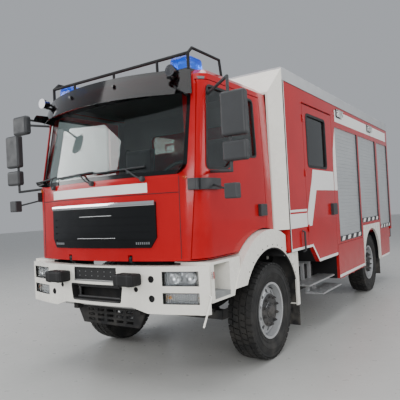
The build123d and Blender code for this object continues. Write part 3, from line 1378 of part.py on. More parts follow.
def cab_horns():
    """Trumpet horn in front of each end of the visor, on a stalk from the cab."""
    middle = (HORN_MOUTH + HORN_BACK) / 2
    trumpet = Pos(HORN_X, middle, HORN_Z) * Rot(90, 0, 0) * Cone(*HORN_RADII, HORN_BACK - HORN_MOUTH)
    stalk = bar((HORN_X, HORN_BACK - 5, HORN_Z), (HORN_X, HORN_BACK + 190, HORN_Z), HORN_STALK_R)
    return pair(trumpet + stalk) - sun_visor() - cab_form(0)


# Black cover over the front corner, split by the door's seam
COVER_LOW = CAB_WAIST - 125
COVER_TOP = CAB_WAIST - 22
COVER_T = 42
COVER_IN = CAB_HALF - 90
COVER_FRONT = CAB_FRONT + 10
COVER_REAR = CAB_FRONT + 490
COVER_SPLIT = 22


def corner_covers():
    """Fixed cover with the hinge boss, and the door's cover hollowed to clear it."""
    band = cab_form(-COVER_T) - cab_form(-SEAT)
    fixed = band & block(COVER_IN, SIDE_OUT, COVER_FRONT, HINGE_Y, COVER_LOW, COVER_TOP)
    fixed += post(HINGE_BOSS_R, HINGE_X, HINGE_Y, COVER_LOW, COVER_TOP)
    moving = band & block(COVER_IN, SIDE_OUT, HINGE_Y + COVER_SPLIT, COVER_REAR, COVER_LOW, COVER_TOP)
    moving -= post(HINGE_BOSS_R + 5, HINGE_X, HINGE_Y, COVER_LOW - CUT, COVER_TOP + CUT)
    return fixed, moving


# Door mirrors: tube, its line and the two heads
MIRROR_X = CAB_HALF + 330
MIRROR_Y = HINGE_Y
MIRROR_TUBE = [
    (CAB_HALF - 35, CAB_FRONT + 450, CAB_HEADER - 100), (MIRROR_X, MIRROR_Y, CAB_HEADER - 55),
    (MIRROR_X, MIRROR_Y, CAB_WAIST + 10), (CAB_HALF - 20, CAB_FRONT + 400, CAB_WAIST + 40),
]
MIRROR_TUBE_R = 14
MIRROR_DEPTH = (MIRROR_Y - 47, MIRROR_Y + 35)
MAIN_MIRROR = (MIRROR_X - 65, MIRROR_X + 175, *MIRROR_DEPTH, CAB_WAIST + 300, CAB_WAIST + 680, 26)
WIDE_MIRROR = (MIRROR_X - 60, MIRROR_X + 170, *MIRROR_DEPTH, CAB_WAIST + 90, CAB_WAIST + 260, 24)
# Lamp box below the mirrors, and its arm from the door
LAMP_BOX = (MIRROR_X - 40, MIRROR_X + 80, MIRROR_Y - 85, MIRROR_Y, CAB_WAIST - 225, CAB_WAIST - 95, 12)
LAMP_ARM = [(CAB_HALF - 4, CAB_FRONT + 395, CAB_WAIST - 75), (MIRROR_X + 10, MIRROR_Y - 35, CAB_WAIST - 160)]
LAMP_ARM_R = 10
# Door handle: front y, rear y, low z, top z
DOOR_HANDLE = (DOOR_REAR - 190, DOOR_REAR - 40, CAB_WAIST - 410, CAB_WAIST - 280, 8)
HANDLE_OUT = CAB_HALF + 42


def door_fittings():
    """Left door mirrors on their tube, door handle, moving corner cover and lamp box."""
    skin = cab_form(-SEAT)
    heads = rounded_block(*MAIN_MIRROR) + rounded_block(*WIDE_MIRROR)
    mirrors = (bent_tube(MIRROR_TUBE, MIRROR_TUBE_R) - skin) + heads
    handle = rounded_block(CAB_HALF + SEAT, HANDLE_OUT, *DOOR_HANDLE)
    cover = (corner_covers()[1] + rounded_block(*LAMP_BOX) + bar(*LAMP_ARM, LAMP_ARM_R)) - skin
    return Compound(children=[s for piece in (mirrors, handle, cover) for s in piece.solids()])


def build():
    """Write every node."""
    shell, door, cab_glass, door_pane = cab_parts()
    crew, crew_pane = crew_door()
    left_nodes = {
        "cab_door": door, "cab_door_glass": door_pane, "door_fittings": door_fittings(),
        "crew_door": crew, "crew_door_glass": crew_pane, "locker_flap": locker_flap(), "knuckle": knuckle(),
    }
    for name, shape in left_nodes.items():
        save(f"{name}_left", shape)
        save(f"{name}_right", other_side(shape))
    tyre = wheel_tyre()
    rim = wheel_rim()
    for name, side, y in WHEELS:
        place = Pos(side * WHEEL_X, y, TYRE_R) * Rot(0, 0, 0 if side > 0 else 180)
        save(f"tyre_{name}", place * tyre)
        save(f"wheel_{name}", place * rim)
    springs = spring_pack(0, BEAM_TOP, TYRE_R + 170, 700)
    springs += spring_pack(WHEELBASE, REAR_SPRING_Z, TYRE_R + 200, 740)
    nodes = {
        "cab_shell": shell, "cab_glass": cab_glass, "grille_panel": grille_panel(), "sun_visor": sun_visor(),
        "guard_rail": guard_rail(), "cab_beacons": cab_beacons(), "cab_horns": cab_horns(),
        "front_mirror": front_mirror(), "corner_covers": pair(corner_covers()[0]), "cab_seats": cab_seats(),
        "dashboard": dashboard(), "track_rod": track_rod(), "axle_beams": axle_beams(),
        "leaf_springs": pair(springs), "chassis_frame": chassis_frame(), "engine_block": engine_block(),
        "driveline": driveline(), "chassis_tanks": chassis_tanks(), "front_bumper": front_bumper(),
        "bumper_fittings": bumper_fittings(), "white_lamps": white_lamps(),
        "front_fenders": pair(fender() + fender_stays()), "mudflaps": mudflaps(), "crew_cabin": crew_cabin(),
        "crew_seats": crew_seats(), "equipment_body": equipment_body(), "fairing_frame": fairing_frame(),
        "roof_deck": roof_deck(), "roof_ladder": roof_ladder(), "roller_shutters": roller_shutters(),
        "rear_arch_panels": pair(rear_arch_panel()), "body_beacons": pair(rounded_block(*BODY_BEACON)),
        "rear_lamps": pair(rounded_block(*REAR_LAMP)), "rear_underrun": rear_underrun(),
        "access_steps": rear_climb() + pair(access_treads()),
    }
    for name, shape in nodes.items():
        save(name, shape)


build()
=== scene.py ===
"""Looks of a crew-cab fire engine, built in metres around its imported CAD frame."""
import logging
import math
from dataclasses import dataclass, replace
from enum import Enum
from functools import cache
from typing import Iterable, Optional, Sequence

import bmesh
import bpy
from mathutils import Matrix, Vector
from mathutils.bvhtree import BVHTree


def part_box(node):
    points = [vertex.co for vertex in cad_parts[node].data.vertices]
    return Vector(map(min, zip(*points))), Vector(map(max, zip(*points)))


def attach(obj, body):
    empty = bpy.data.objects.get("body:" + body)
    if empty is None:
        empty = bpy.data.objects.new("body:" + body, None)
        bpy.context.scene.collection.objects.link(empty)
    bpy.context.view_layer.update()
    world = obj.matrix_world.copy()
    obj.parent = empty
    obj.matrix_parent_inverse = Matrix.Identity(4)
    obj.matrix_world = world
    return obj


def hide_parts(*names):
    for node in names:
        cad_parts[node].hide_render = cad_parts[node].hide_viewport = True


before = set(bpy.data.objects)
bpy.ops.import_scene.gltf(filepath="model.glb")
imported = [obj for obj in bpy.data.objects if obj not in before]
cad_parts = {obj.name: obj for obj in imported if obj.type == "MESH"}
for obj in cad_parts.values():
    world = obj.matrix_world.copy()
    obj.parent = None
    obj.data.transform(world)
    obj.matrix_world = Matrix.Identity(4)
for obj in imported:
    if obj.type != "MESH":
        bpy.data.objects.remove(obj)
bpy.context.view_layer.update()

LOG = logging.getLogger("fire_engine")
Point = tuple[float, float, float]
Pair = tuple[float, float]
Box = tuple[Pair, Pair]
Outline = tuple[Pair, ...]
Row = tuple[float, ...]
Socket = bpy.types.NodeSocket

# Places along the vehicle are measured from the front axle, as in the part's source
FRONT_AXLE = -2.28
BODY_HALF = 1.25
CAB_HALF = 1.12
FILM = 0.0012


def along(distance: float) -> float:
    """Place on the frame's Y axis of a distance behind the front axle."""
    return distance + FRONT_AXLE


class Side(Enum):
    """Side of the vehicle, with the sign of its X axis."""

    LEFT = 1
    RIGHT = -1

    @property
    def label(self) -> str:
        """Word used in the names of nodes and bodies."""
        return self.name.lower()


class Axle(Enum):
    """Axle of the vehicle, with the word used in names."""

    FRONT = "front"
    REAR = "rear"


class Door(Enum):
    """Kind of door, with the word used in names."""

    CAB = "cab"
    CREW = "crew"


class Graph:
    """Node tree of one material, with short ways to add and join nodes."""

    def __init__(self, name: str) -> None:
        """Start an empty tree that ends in a Principled shader.

        Args:
            name: name of the material.
        """
        self.material = bpy.data.materials.new(name)
        self.material.use_nodes = True
        self.tree = self.material.node_tree
        self.tree.nodes.clear()
        self.shader = self.add("ShaderNodeBsdfPrincipled")
        output = self.add("ShaderNodeOutputMaterial")
        self.join(self.shader.outputs["BSDF"], output.inputs["Surface"])
        self.place = self.add("ShaderNodeTexCoord").outputs["Object"]

    def add(self, kind: str, **values: object) -> bpy.types.Node:
        """Add a node and set its properties.

        Args:
            kind: Blender's name of the node type.
            values: properties of the node.

        Returns:
            The new node.
        """
        node = self.tree.nodes.new(kind)
        for key, value in values.items():
            setattr(node, key, value)
        return node

    def join(self, source: Socket, target: Socket) -> None:
        """Link two sockets."""
        self.tree.links.new(source, target)

    def stretched(self, scale: Point) -> Socket:
        """Object coordinates scaled by axis.

        Args:
            scale: factor for each axis.

        Returns:
            The vector socket.
        """
        mapping = self.add("ShaderNodeMapping")
        self.join(self.place, mapping.inputs["Vector"])
        mapping.inputs["Scale"].default_value = scale
        return mapping.outputs["Vector"]

    def noise(self, scale: float, detail: float = 4.0, stretch: Point = (1, 1, 1)) -> Socket:
        """Fractal noise over the object.

        Args:
            scale: size of the pattern, larger is finer.
            detail: number of octaves.
            stretch: scale for each axis before the noise.

        Returns:
            The factor socket.
        """
        node = self.add("ShaderNodeTexNoise")
        self.join(self.stretched(stretch), node.inputs["Vector"])
        node.inputs["Scale"].default_value = scale
        node.inputs["Detail"].default_value = detail
        return node.outputs["Fac"]

    def ranged(self, source: Socket, low: float, high: float, to_low: float, to_high: float) -> Socket:
        """Map one range of values to another, clamped.

        Args:
            source: value that is mapped.
            low: start of the input range.
            high: end of the input range.
            to_low: result at the start.
            to_high: result at the end.

        Returns:
            The result socket.
        """
        node = self.add("ShaderNodeMapRange")
        self.join(source, node.inputs["Value"])
        keys = ("From Min", "From Max", "To Min", "To Max")
        for key, value in zip(keys, (low, high, to_low, to_high)):
            node.inputs[key].default_value = value
        return node.outputs["Result"]

    def product(self, first: Socket, second: Socket) -> Socket:
        """Multiply two values.

        Args:
            first: one value.
            second: the other value.

        Returns:
            The product's socket.
        """
        node = self.add("ShaderNodeMath", operation="MULTIPLY")
        self.join(first, node.inputs[0])
        self.join(second, node.inputs[1])
        return node.outputs[0]

    def blend(self, factor: Socket, first: object, second: object) -> Socket:
        """Mix two colours by a factor.

        Args:
            factor: socket with values from 0 to 1.
            first: colour or socket at 0.
            second: colour or socket at 1.

        Returns:
            The colour socket.
        """
        node = self.add("ShaderNodeMix", data_type="RGBA")
        self.join(factor, node.inputs["Factor"])
        for slot, value in ((6, first), (7, second)):
            if isinstance(value, bpy.types.NodeSocket):
                self.join(value, node.inputs[slot])
            else:
                node.inputs[slot].default_value = (*value, 1.0)
        return node.outputs[2]

    def bump(self, height: Socket, strength: float, depth: float) -> None:
        """Press a height map into the surface.

        Args:
            height: socket with the height from 0 to 1.
            strength: share of the bump that is used.
            depth: depth in metres.
        """
        node = self.add("ShaderNodeBump")
        previous = self.shader.inputs["Normal"]
        if previous.is_linked:
            self.join(previous.links[0].from_socket, node.inputs["Normal"])
        self.join(height, node.inputs["Height"])
        node.inputs["Strength"].default_value = strength
        node.inputs["Distance"].default_value = depth
        self.join(node.outputs["Normal"], previous)

    def coordinate(self, axis: str) -> Socket:
        """One coordinate of the shaded point in the frame.

        Args:
            axis: X, Y or Z.

        Returns:
            The value's socket.
        """
        split = self.add("ShaderNodeSeparateXYZ")
        self.join(self.place, split.inputs[0])
        return split.outputs[axis]

    def inside(self, half: float, span: Pair, height: Pair) -> Socket:
        """Mask of a box that lies midway across the vehicle.

        Args:
            half: its half width.
            span: where it starts and ends along the frame's Y axis.
            height: its foot and its head.

        Returns:
            The socket, 1 inside and 0 outside.
        """
        within = []
        for axis, (low, high) in (("X", (-half, half)), ("Y", span), ("Z", height)):
            node = self.add("ShaderNodeMath", operation="COMPARE")
            self.join(self.coordinate(axis), node.inputs[0])
            node.inputs[1].default_value = (low + high) / 2
            node.inputs[2].default_value = (high - low) / 2
            within.append(node.outputs[0])
        return self.product(self.product(within[0], within[1]), within[2])

    def set(self, **values: object) -> None:
        """Set constant values on the shader's own sockets; underscores stand for spaces."""
        for key, value in values.items():
            self.shader.inputs[key.replace("_", " ")].default_value = value


@dataclass(frozen=True)
class Lining:
    """Box inside a shell that shows another colour than its outside, such as a dark underseal."""

    half: float
    span: Pair
    height: Pair
    colour: Point = (0.01, 0.01, 0.011)
    rough: float = 0.75


@dataclass(frozen=True)
class Finish:
    """Painted, cast or moulded surface with grain, road dust and uneven gloss."""

    name: str
    colour: Point
    rough: Pair = (0.3, 0.4)
    metal: float = 0.0
    coat: float = 0.0
    shade: float = 0.12
    grain: float = 60.0
    grain_depth: float = 0.0002
    stretch: Point = (1, 1, 1)
    dust: float = 0.25
    dust_top: float = 1.1
    ior: float = 1.45
    linings: tuple[Lining, ...] = ()

    DUST_COLOUR = (0.3, 0.27, 0.23)
    DUST_FOOT = 0.1
    COAT_ROUGHNESS = 0.04
    MOTTLE_SCALE = 2.3
    PATCH_SCALE = 7.0
    GLOSS_SCALE = 11.0
    GRAIN_STRENGTH = 0.5

    def base(self, graph: Graph) -> Socket:
        """Colour that varies softly, with grime low on the vehicle.

        Args:
            graph: tree that the nodes go into.

        Returns:
            The colour socket.
        """
        darker = tuple(c * (1 - self.shade) for c in self.colour)
        broad = graph.ranged(graph.noise(self.MOTTLE_SCALE, 6), 0.35, 0.65, 0, 1)
        colour = graph.blend(broad, darker, self.colour)
        low = graph.ranged(graph.coordinate("Z"), self.DUST_FOOT, self.dust_top, self.dust, 0)
        patches = graph.ranged(graph.noise(self.PATCH_SCALE, 8), 0.42, 0.72, 0, 1)
        return graph.blend(graph.product(low, patches), colour, self.DUST_COLOUR)

    def build(self) -> bpy.types.Material:
        """Make the material.

        Returns:
            The finished material.
        """
        graph = Graph(self.name)
        colour = self.base(graph)
        gloss = graph.ranged(graph.noise(self.GLOSS_SCALE, 6), 0.3, 0.7, *self.rough)
        graph.set(Metallic=self.metal, IOR=self.ior)
        graph.set(Coat_Weight=self.coat, Coat_Roughness=self.COAT_ROUGHNESS, Coat_IOR=self.ior)
        for lining in self.linings:
            mask = graph.inside(lining.half, lining.span, lining.height)
            colour = graph.blend(mask, colour, lining.colour)
            gloss = graph.blend(mask, gloss, (lining.rough,) * 3)
            graph.join(graph.ranged(mask, 0, 1, self.coat, 0), graph.shader.inputs["Coat Weight"])
        graph.join(colour, graph.shader.inputs["Base Color"])
        graph.join(gloss, graph.shader.inputs["Roughness"])
        graph.bump(graph.noise(self.grain, 5, self.stretch), self.GRAIN_STRENGTH, self.grain_depth)
        return graph.material


@dataclass(frozen=True)
class Glazing:
    """Clear or tinted glass or plastic with a faint film of dust."""

    name: str
    tint: Point
    rough: Pair = (0.0, 0.04)
    ior: float = 1.45
    ribs: float = 0.0
    glow: float = 0.0

    DEEPER = 0.86
    RIB_DEPTH = 0.001
    WAVE_DEPTH = 0.002

    def build(self) -> bpy.types.Material:
        """Make the material.

        Returns:
            The finished material.
        """
        graph = Graph(self.name)
        deeper = tuple(c * self.DEEPER for c in self.tint)
        tint = graph.blend(graph.ranged(graph.noise(1.7, 3), 0.4, 0.6, 0, 1), deeper, self.tint)
        graph.join(tint, graph.shader.inputs["Base Color"])
        smear = graph.ranged(graph.noise(5.0, 8, (1, 1, 0.4)), 0.45, 0.8, *self.rough)
        graph.join(smear, graph.shader.inputs["Roughness"])
        graph.set(IOR=self.ior, Transmission_Weight=1.0)
        graph.bump(graph.noise(0.9, 2), 0.06, self.WAVE_DEPTH)
        if self.ribs:
            wave = graph.add("ShaderNodeTexWave", wave_type="BANDS", bands_direction="Z")
            graph.join(graph.place, wave.inputs["Vector"])
            wave.inputs["Scale"].default_value = self.ribs
            graph.bump(wave.outputs["Fac"], 0.5, self.RIB_DEPTH)
        if self.glow:
            graph.set(Emission_Color=(*self.tint, 1.0), Emission_Strength=self.glow)
        return graph.material


@dataclass(frozen=True)
class TreadPlate:
    """Bright sheet with raised lozenges in two directions."""

    name: str
    colour: Point = (0.55, 0.56, 0.57)
    pitch: float = 26.0
    slimness: float = 2.6
    height: float = 0.0015
    rough: Pair = (0.28, 0.5)
    metal: float = 0.9

    def build(self) -> bpy.types.Material:
        """Make the material.

        Returns:
            The finished material.
        """
        graph = Graph(self.name)
        base = Finish(self.name, self.colour, dust=0.35, dust_top=3.5).base(graph)
        graph.join(base, graph.shader.inputs["Base Color"])
        heights = []
        for turn in (1, -1):
            mapping = graph.add("ShaderNodeMapping")
            graph.join(graph.place, mapping.inputs["Vector"])
            mapping.inputs["Rotation"].default_value = (0, 0, math.radians(45 * turn))
            mapping.inputs["Scale"].default_value = (self.pitch, self.pitch * self.slimness, 1)
            cells = graph.add("ShaderNodeTexVoronoi", voronoi_dimensions="2D", feature="F1")
            cells.inputs["Randomness"].default_value = 0.0
            graph.join(mapping.outputs["Vector"], cells.inputs["Vector"])
            heights.append(graph.ranged(cells.outputs["Distance"], 0.12, 0.34, 1, 0))
        for height in heights:
            graph.bump(height, 0.7, self.height)
        gloss = graph.ranged(graph.noise(14.0, 6), 0.3, 0.7, *self.rough)
        graph.join(gloss, graph.shader.inputs["Roughness"])
        graph.set(Metallic=self.metal)
        return graph.material


@dataclass(frozen=True)
class Cloth:
    """Woven seat cloth with two crossing threads and a soft sheen."""

    name: str
    warp: Point
    weft: Point
    thread_scale: float = 42.0
    thread_depth: float = 0.0006

    def build(self) -> bpy.types.Material:
        """Make the material.

        Returns:
            The finished material.
        """
        graph = Graph(self.name)
        heights = []
        for direction in ("X", "Z"):
            wave = graph.add("ShaderNodeTexWave", wave_type="BANDS", bands_direction=direction)
            graph.join(graph.place, wave.inputs["Vector"])
            wave.inputs["Scale"].default_value = self.thread_scale
            wave.inputs["Distortion"].default_value = 1.5
            heights.append(wave.outputs["Fac"])
        weave = graph.product(heights[0], heights[1])
        worn = graph.ranged(graph.noise(9.0, 6), 0.35, 0.7, 0.0, 1.0)
        thread = graph.blend(weave, self.warp, self.weft)
        faded = tuple(min(1.0, c * 1.5 + 0.01) for c in self.weft)
        colour = graph.blend(graph.product(worn, weave), thread, faded)
        graph.join(colour, graph.shader.inputs["Base Color"])
        graph.join(graph.ranged(worn, 0, 1, 0.75, 0.95), graph.shader.inputs["Roughness"])
        graph.bump(weave, 0.6, self.thread_depth)
        graph.set(Sheen_Weight=0.4, Sheen_Roughness=0.5)
        return graph.material


RED = Finish("fire_red", (0.43, 0.006, 0.009), (0.14, 0.24), coat=0.35, shade=0.1, grain=240,
             grain_depth=0.00006, dust=0.16, ior=1.33)
WHITE = Finish("warm_white", (0.84, 0.82, 0.75), (0.2, 0.32), coat=0.5, shade=0.05, grain=240,
               grain_depth=0.00006, dust=0.35, dust_top=0.9)
TRIM_GREY = (0.16, 0.165, 0.17)
FENDER_LININGS = (Lining(0.8695, (-3.52, -1.5), (0.4, 1.18)),)
CAB_LININGS = (Lining(1.075, (-3.31, -2.06), (1.24, 2.9), TRIM_GREY),
               Lining(1.0, (-3.23, -2.06), (1.24, 2.96), TRIM_GREY))
CREW_LININGS = (Lining(1.21, (-1.815, -0.12), (1.34, 3.08), TRIM_GREY),
                Lining(1.243, (-1.83, -0.09), (0.8, 1.34)))
LOCKER_LININGS = (Lining(1.243, (-0.09, 3.62), (0.4, 1.03)),)

FINISHES = (
    RED,
    replace(RED, name="cab_red", linings=CAB_LININGS),
    replace(RED, name="crew_red", linings=CREW_LININGS),
    replace(RED, name="body_red", linings=LOCKER_LININGS),
    Finish("dark_chrome", (0.2, 0.2, 0.21), (0.06, 0.16), metal=1.0, grain=60, shade=0.15),
    WHITE,
    replace(WHITE, name="fender_white", linings=FENDER_LININGS),
    Finish("stripe_white", (0.8, 0.8, 0.78), (0.34, 0.46), shade=0.04, grain=900,
           grain_depth=0.00005, dust=0.2),
    Finish("stripe_black", (0.015, 0.015, 0.016), (0.34, 0.46), shade=0.2, grain=900,
           grain_depth=0.00005),
    Finish("roof_aluminium", (0.56, 0.57, 0.58), (0.44, 0.58), metal=0.7, grain=90,
           stretch=(1, 0.04, 1), shade=0.08),
    Finish("shutter_aluminium", (0.5, 0.52, 0.53), (0.34, 0.46), metal=0.55, grain=120,
           stretch=(0.05, 0.05, 1), shade=0.06, dust=0.15),
    Finish("worn_steel", (0.3, 0.31, 0.31), (0.42, 0.6), metal=0.5, grain=120, grain_depth=0.0006,
           shade=0.3, dust=0.3),
    Finish("door_trim", TRIM_GREY, (0.52, 0.68), grain=420, grain_depth=0.0004, shade=0.1, dust=0.1),
    Finish("reflector", (0.74, 0.75, 0.76), (0.1, 0.24), metal=0.7, grain=120, shade=0.06, dust=0.0),
    Finish("bulb_white", (0.9, 0.9, 0.86), (0.1, 0.22), metal=0.2, grain=200,
           grain_depth=0.00005, shade=0.03, dust=0.0),
    Finish("bare_steel", (0.42, 0.42, 0.42), (0.28, 0.5), metal=1.0, grain=160, shade=0.25),
    Finish("chassis_black", (0.012, 0.012, 0.013), (0.55, 0.75), ior=1.36, grain=130, shade=0.3,
           dust=0.22),
    Finish("dark_plastic", (0.034, 0.036, 0.039), (0.46, 0.62), grain=700, grain_depth=0.0003,
           shade=0.18, dust=0.15),
    Finish("gloss_black", (0.005, 0.0055, 0.006), (0.08, 0.16), coat=0.3, ior=1.36, grain=220,
           grain_depth=0.00005, shade=0.2, dust=0.05),
    Finish("seal_rubber", (0.012, 0.012, 0.013), (0.55, 0.72), grain=400, shade=0.25, dust=0.1),
    Finish("tyre_rubber", (0.011, 0.011, 0.011), (0.55, 0.78), grain=320, grain_depth=0.0004,
           shade=0.35, dust=0.1),
    Finish("flap_rubber", (0.018, 0.018, 0.019), (0.6, 0.8), grain=260, grain_depth=0.0005,
           shade=0.3, dust=0.45),
    Finish("wheel_steel", (0.5, 0.51, 0.52), (0.3, 0.44), metal=0.6, grain=180, shade=0.16,
           dust=0.4),
    Finish("cast_metal", (0.06, 0.06, 0.062), (0.5, 0.7), metal=0.4, grain=90, grain_depth=0.0008,
           shade=0.3, dust=0.35),
    Finish("horn_chrome", (0.8, 0.81, 0.82), (0.04, 0.12), metal=1.0, grain=60, shade=0.05),
    Finish("mirror_glass", (0.72, 0.74, 0.75), (0.01, 0.04), metal=1.0, grain=20,
           grain_depth=0.00002, shade=0.03),
)
GLAZINGS = (
    Glazing("clear_glass", (0.8, 0.88, 0.86)),
    Glazing("tinted_glass", (0.58, 0.63, 0.6)),
    Glazing("dark_glass", (0.24, 0.26, 0.24)),
    Glazing("smoked_plastic", (0.035, 0.035, 0.036), (0.1, 0.2)),
    Glazing("lamp_glass", (0.93, 0.95, 0.96)),
    Glazing("blue_lens", (0.03, 0.16, 0.85), ribs=26, glow=0.25),
    Glazing("red_lens", (0.75, 0.02, 0.02), ribs=40, glow=0.05),
    Glazing("amber_lens", (0.95, 0.38, 0.03), ribs=40, glow=0.05),
)
SPECIALS = (
    TreadPlate("tread_plate"),
    Cloth("seat_cloth", (0.025, 0.028, 0.034), (0.05, 0.055, 0.065)),
)
MAKERS = {maker.name: maker for maker in (*FINISHES, *GLAZINGS, *SPECIALS)}


@cache
def paint(name: str) -> bpy.types.Material:
    """Material of one finish, made when it is first asked for."""
    return MAKERS[name].build()


# Finish of each CAD node whose own shape stays in view
NODE_FINISH = {
    "chassis_frame": "chassis_black", "leaf_springs": "chassis_black", "axle_beams": "cast_metal",
    "engine_block": "cast_metal", "driveline": "cast_metal", "chassis_tanks": "chassis_black",
    "front_bumper": "warm_white", "bumper_fittings": "chassis_black", "white_lamps": "lamp_glass",
    "front_fenders": "fender_white", "mudflaps": "flap_rubber", "crew_cabin": "crew_red",
    "equipment_body": "body_red", "fairing_frame": "warm_white", "roof_deck": "roof_aluminium",
    "roof_ladder": "roof_aluminium", "roller_shutters": "shutter_aluminium",
    "rear_arch_panels": "warm_white", "body_beacons": "blue_lens", "rear_lamps": "red_lens",
    "rear_underrun": "chassis_black", "access_steps": "tread_plate", "crew_seats": "seat_cloth",
    "cab_shell": "cab_red", "cab_glass": "clear_glass", "grille_panel": "gloss_black",
    "sun_visor": "smoked_plastic", "guard_rail": "chassis_black", "cab_beacons": "blue_lens",
    "cab_horns": "dark_chrome", "cab_seats": "seat_cloth", "dashboard": "dark_plastic",
    "front_mirror": "dark_plastic", "track_rod": "cast_metal", "corner_covers": "dark_plastic",
}
SIDE_NODE_FINISH = {
    "cab_door": "fire_red", "cab_door_glass": "tinted_glass", "door_fittings": "dark_plastic",
    "crew_door": "fire_red", "crew_door_glass": "dark_glass", "locker_flap": "fire_red",
    "knuckle": "cast_metal",
}
WHEEL_NODE_FINISH = {"tyre": "tyre_rubber", "wheel": "wheel_steel"}
WHEEL_PLACES = {f"{axle.value}_{side.label}": side for axle in Axle for side in Side}


def dress_frame() -> None:
    """Give every CAD node its finish."""
    finishes = dict(NODE_FINISH)
    for stem, finish in SIDE_NODE_FINISH.items():
        finishes.update({f"{stem}_{side.label}": finish for side in Side})
    for stem, finish in WHEEL_NODE_FINISH.items():
        finishes.update({f"{stem}_{place}": finish for place in WHEEL_PLACES})
    for name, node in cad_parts.items():
        node.data.materials.clear()
        node.data.materials.append(paint(finishes[name]))
        LOG.info("dressed %s in %s", name, finishes[name])


@dataclass
class Studio:
    """Pale floor, soft lights and the camera at the photograph's angle."""

    place: Point = (3.385, -6.924, 1.663)
    yaw: float = 0.5854
    pitch: float = 0.0186
    roll: float = -0.0522
    lens: float = 41.93
    sensor: float = 36.0
    clip_end: float = 200.0
    floor_half: float = 45.0
    sky: Point = (0.82, 0.86, 0.92)
    sky_strength: float = 0.5
    lights: tuple[tuple[str, Point, Point, Pair, float], ...] = (
        ("ceiling", (0, -1, 9.5), (0, 0, 0), (9, 14), 900),
        ("windows", (-9, -9, 5.0), (0, -2, 1.6), (8, 5), 700),
        ("front_fill", (6, -11, 4.0), (0.5, -2, 1.5), (6, 4), 620),
        ("side_fill", (11, 2, 4.5), (1, 0, 1.6), (10, 4), 520))

    def camera(self) -> None:
        """Set the camera from its place and angles."""
        forward = Vector((-math.sin(self.yaw) * math.cos(self.pitch),
                          math.cos(self.yaw) * math.cos(self.pitch), math.sin(self.pitch)))
        level = Vector((math.cos(self.yaw), math.sin(self.yaw), 0.0))
        upright = level.cross(forward)
        right = level * math.cos(self.roll) + upright * math.sin(self.roll)
        up = upright * math.cos(self.roll) - level * math.sin(self.roll)
        data = bpy.data.cameras.new("photo_camera")
        data.lens = self.lens
        data.sensor_width = self.sensor
        data.clip_end = self.clip_end
        camera = bpy.data.objects.new("photo_camera", data)
        turn = Matrix((right, up, -forward)).transposed().to_4x4()
        camera.matrix_world = Matrix.Translation(self.place) @ turn
        bpy.context.scene.collection.objects.link(camera)
        bpy.context.scene.camera = camera

    def floor(self) -> None:
        """Pale sealed concrete floor."""
        mesh = bpy.data.meshes.new("floor")
        h = self.floor_half
        mesh.from_pydata([(-h, -h, 0), (h, -h, 0), (h, h, 0), (-h, h, 0)], [], [(0, 1, 2, 3)])
        floor = bpy.data.objects.new("floor", mesh)
        bpy.context.scene.collection.objects.link(floor)
        concrete = Finish("floor_paint", (0.5, 0.5, 0.48), (0.26, 0.42), shade=0.05, grain=3, dust=0.0)
        mesh.materials.append(concrete.build())

    def light(self, name: str, place: Point, aim: Point, size: Pair, power: float) -> None:
        """Add one soft area light.

        Args:
            name: name of the light.
            place: where it hangs.
            aim: point that it faces.
            size: its two sides in metres.
            power: its power in watts.
        """
        data = bpy.data.lights.new(name, "AREA")
        data.shape = "RECTANGLE"
        data.size, data.size_y = size
        data.energy = power
        light = bpy.data.objects.new(name, data)
        light.location = place
        light.rotation_euler = (Vector(aim) - Vector(place)).to_track_quat("-Z", "Y").to_euler()
        bpy.context.scene.collection.objects.link(light)

    def build(self) -> None:
        """Make the whole studio."""
        self.camera()
        self.floor()
        world = bpy.data.worlds.new("studio")
        bpy.context.scene.world = world
        world.use_nodes = True
        background = world.node_tree.nodes["Background"]
        background.inputs["Color"].default_value = (*self.sky, 1.0)
        background.inputs["Strength"].default_value = self.sky_strength
        for light in self.lights:
            self.light(*light)


class Axis(Enum):
    """Direction in which an outline is run, with the axes that its points use."""

    X = (0, 1, 2)
    Y = (1, 0, 2)

    def point(self, run: float, flat: Pair) -> Point:
        """Point by its place along the axis and the other two coordinates.

        Args:
            run: place along the axis.
            flat: the other two coordinates, in the order of X, Y and Z.

        Returns:
            The point.
        """
        place = [0.0, 0.0, 0.0]
        place[self.value[0]] = run
        place[self.value[1]], place[self.value[2]] = flat
        return tuple(place)


def oblong(low: Pair, high: Pair) -> list[Pair]:
    """Corners of an upright oblong between two opposite ones, in order."""
    return [low, (high[0], low[1]), high, (low[0], high[1])]


def arc(centre: Pair, radius: float, start: float, end: float, steps: int) -> list[Pair]:
    """Points on a round stretch of an outline, between two angles in degrees."""
    angles = [math.radians(start + (end - start) * i / steps) for i in range(steps + 1)]
    return [(centre[0] + radius * math.cos(a), centre[1] + radius * math.sin(a)) for a in angles]


def rounded(corners: Sequence[Pair], radius: float, steps: int = 5) -> list[Pair]:
    """Outline with every corner rounded off.

    Args:
        corners: corners in order.
        radius: distance from a corner at which the rounding starts.
        steps: number of stretches in each corner.

    Returns:
        The rounded outline.
    """
    points = []
    count = len(corners)
    for i, corner in enumerate(corners):
        here = Vector(corner)
        before = (Vector(corners[i - 1]) - here).normalized() * radius + here
        after = (Vector(corners[(i + 1) % count]) - here).normalized() * radius + here
        for k in range(steps + 1):
            t = k / steps
            points.append(tuple(before * (1 - t) ** 2 + here * 2 * t * (1 - t) + after * t ** 2))
    return points


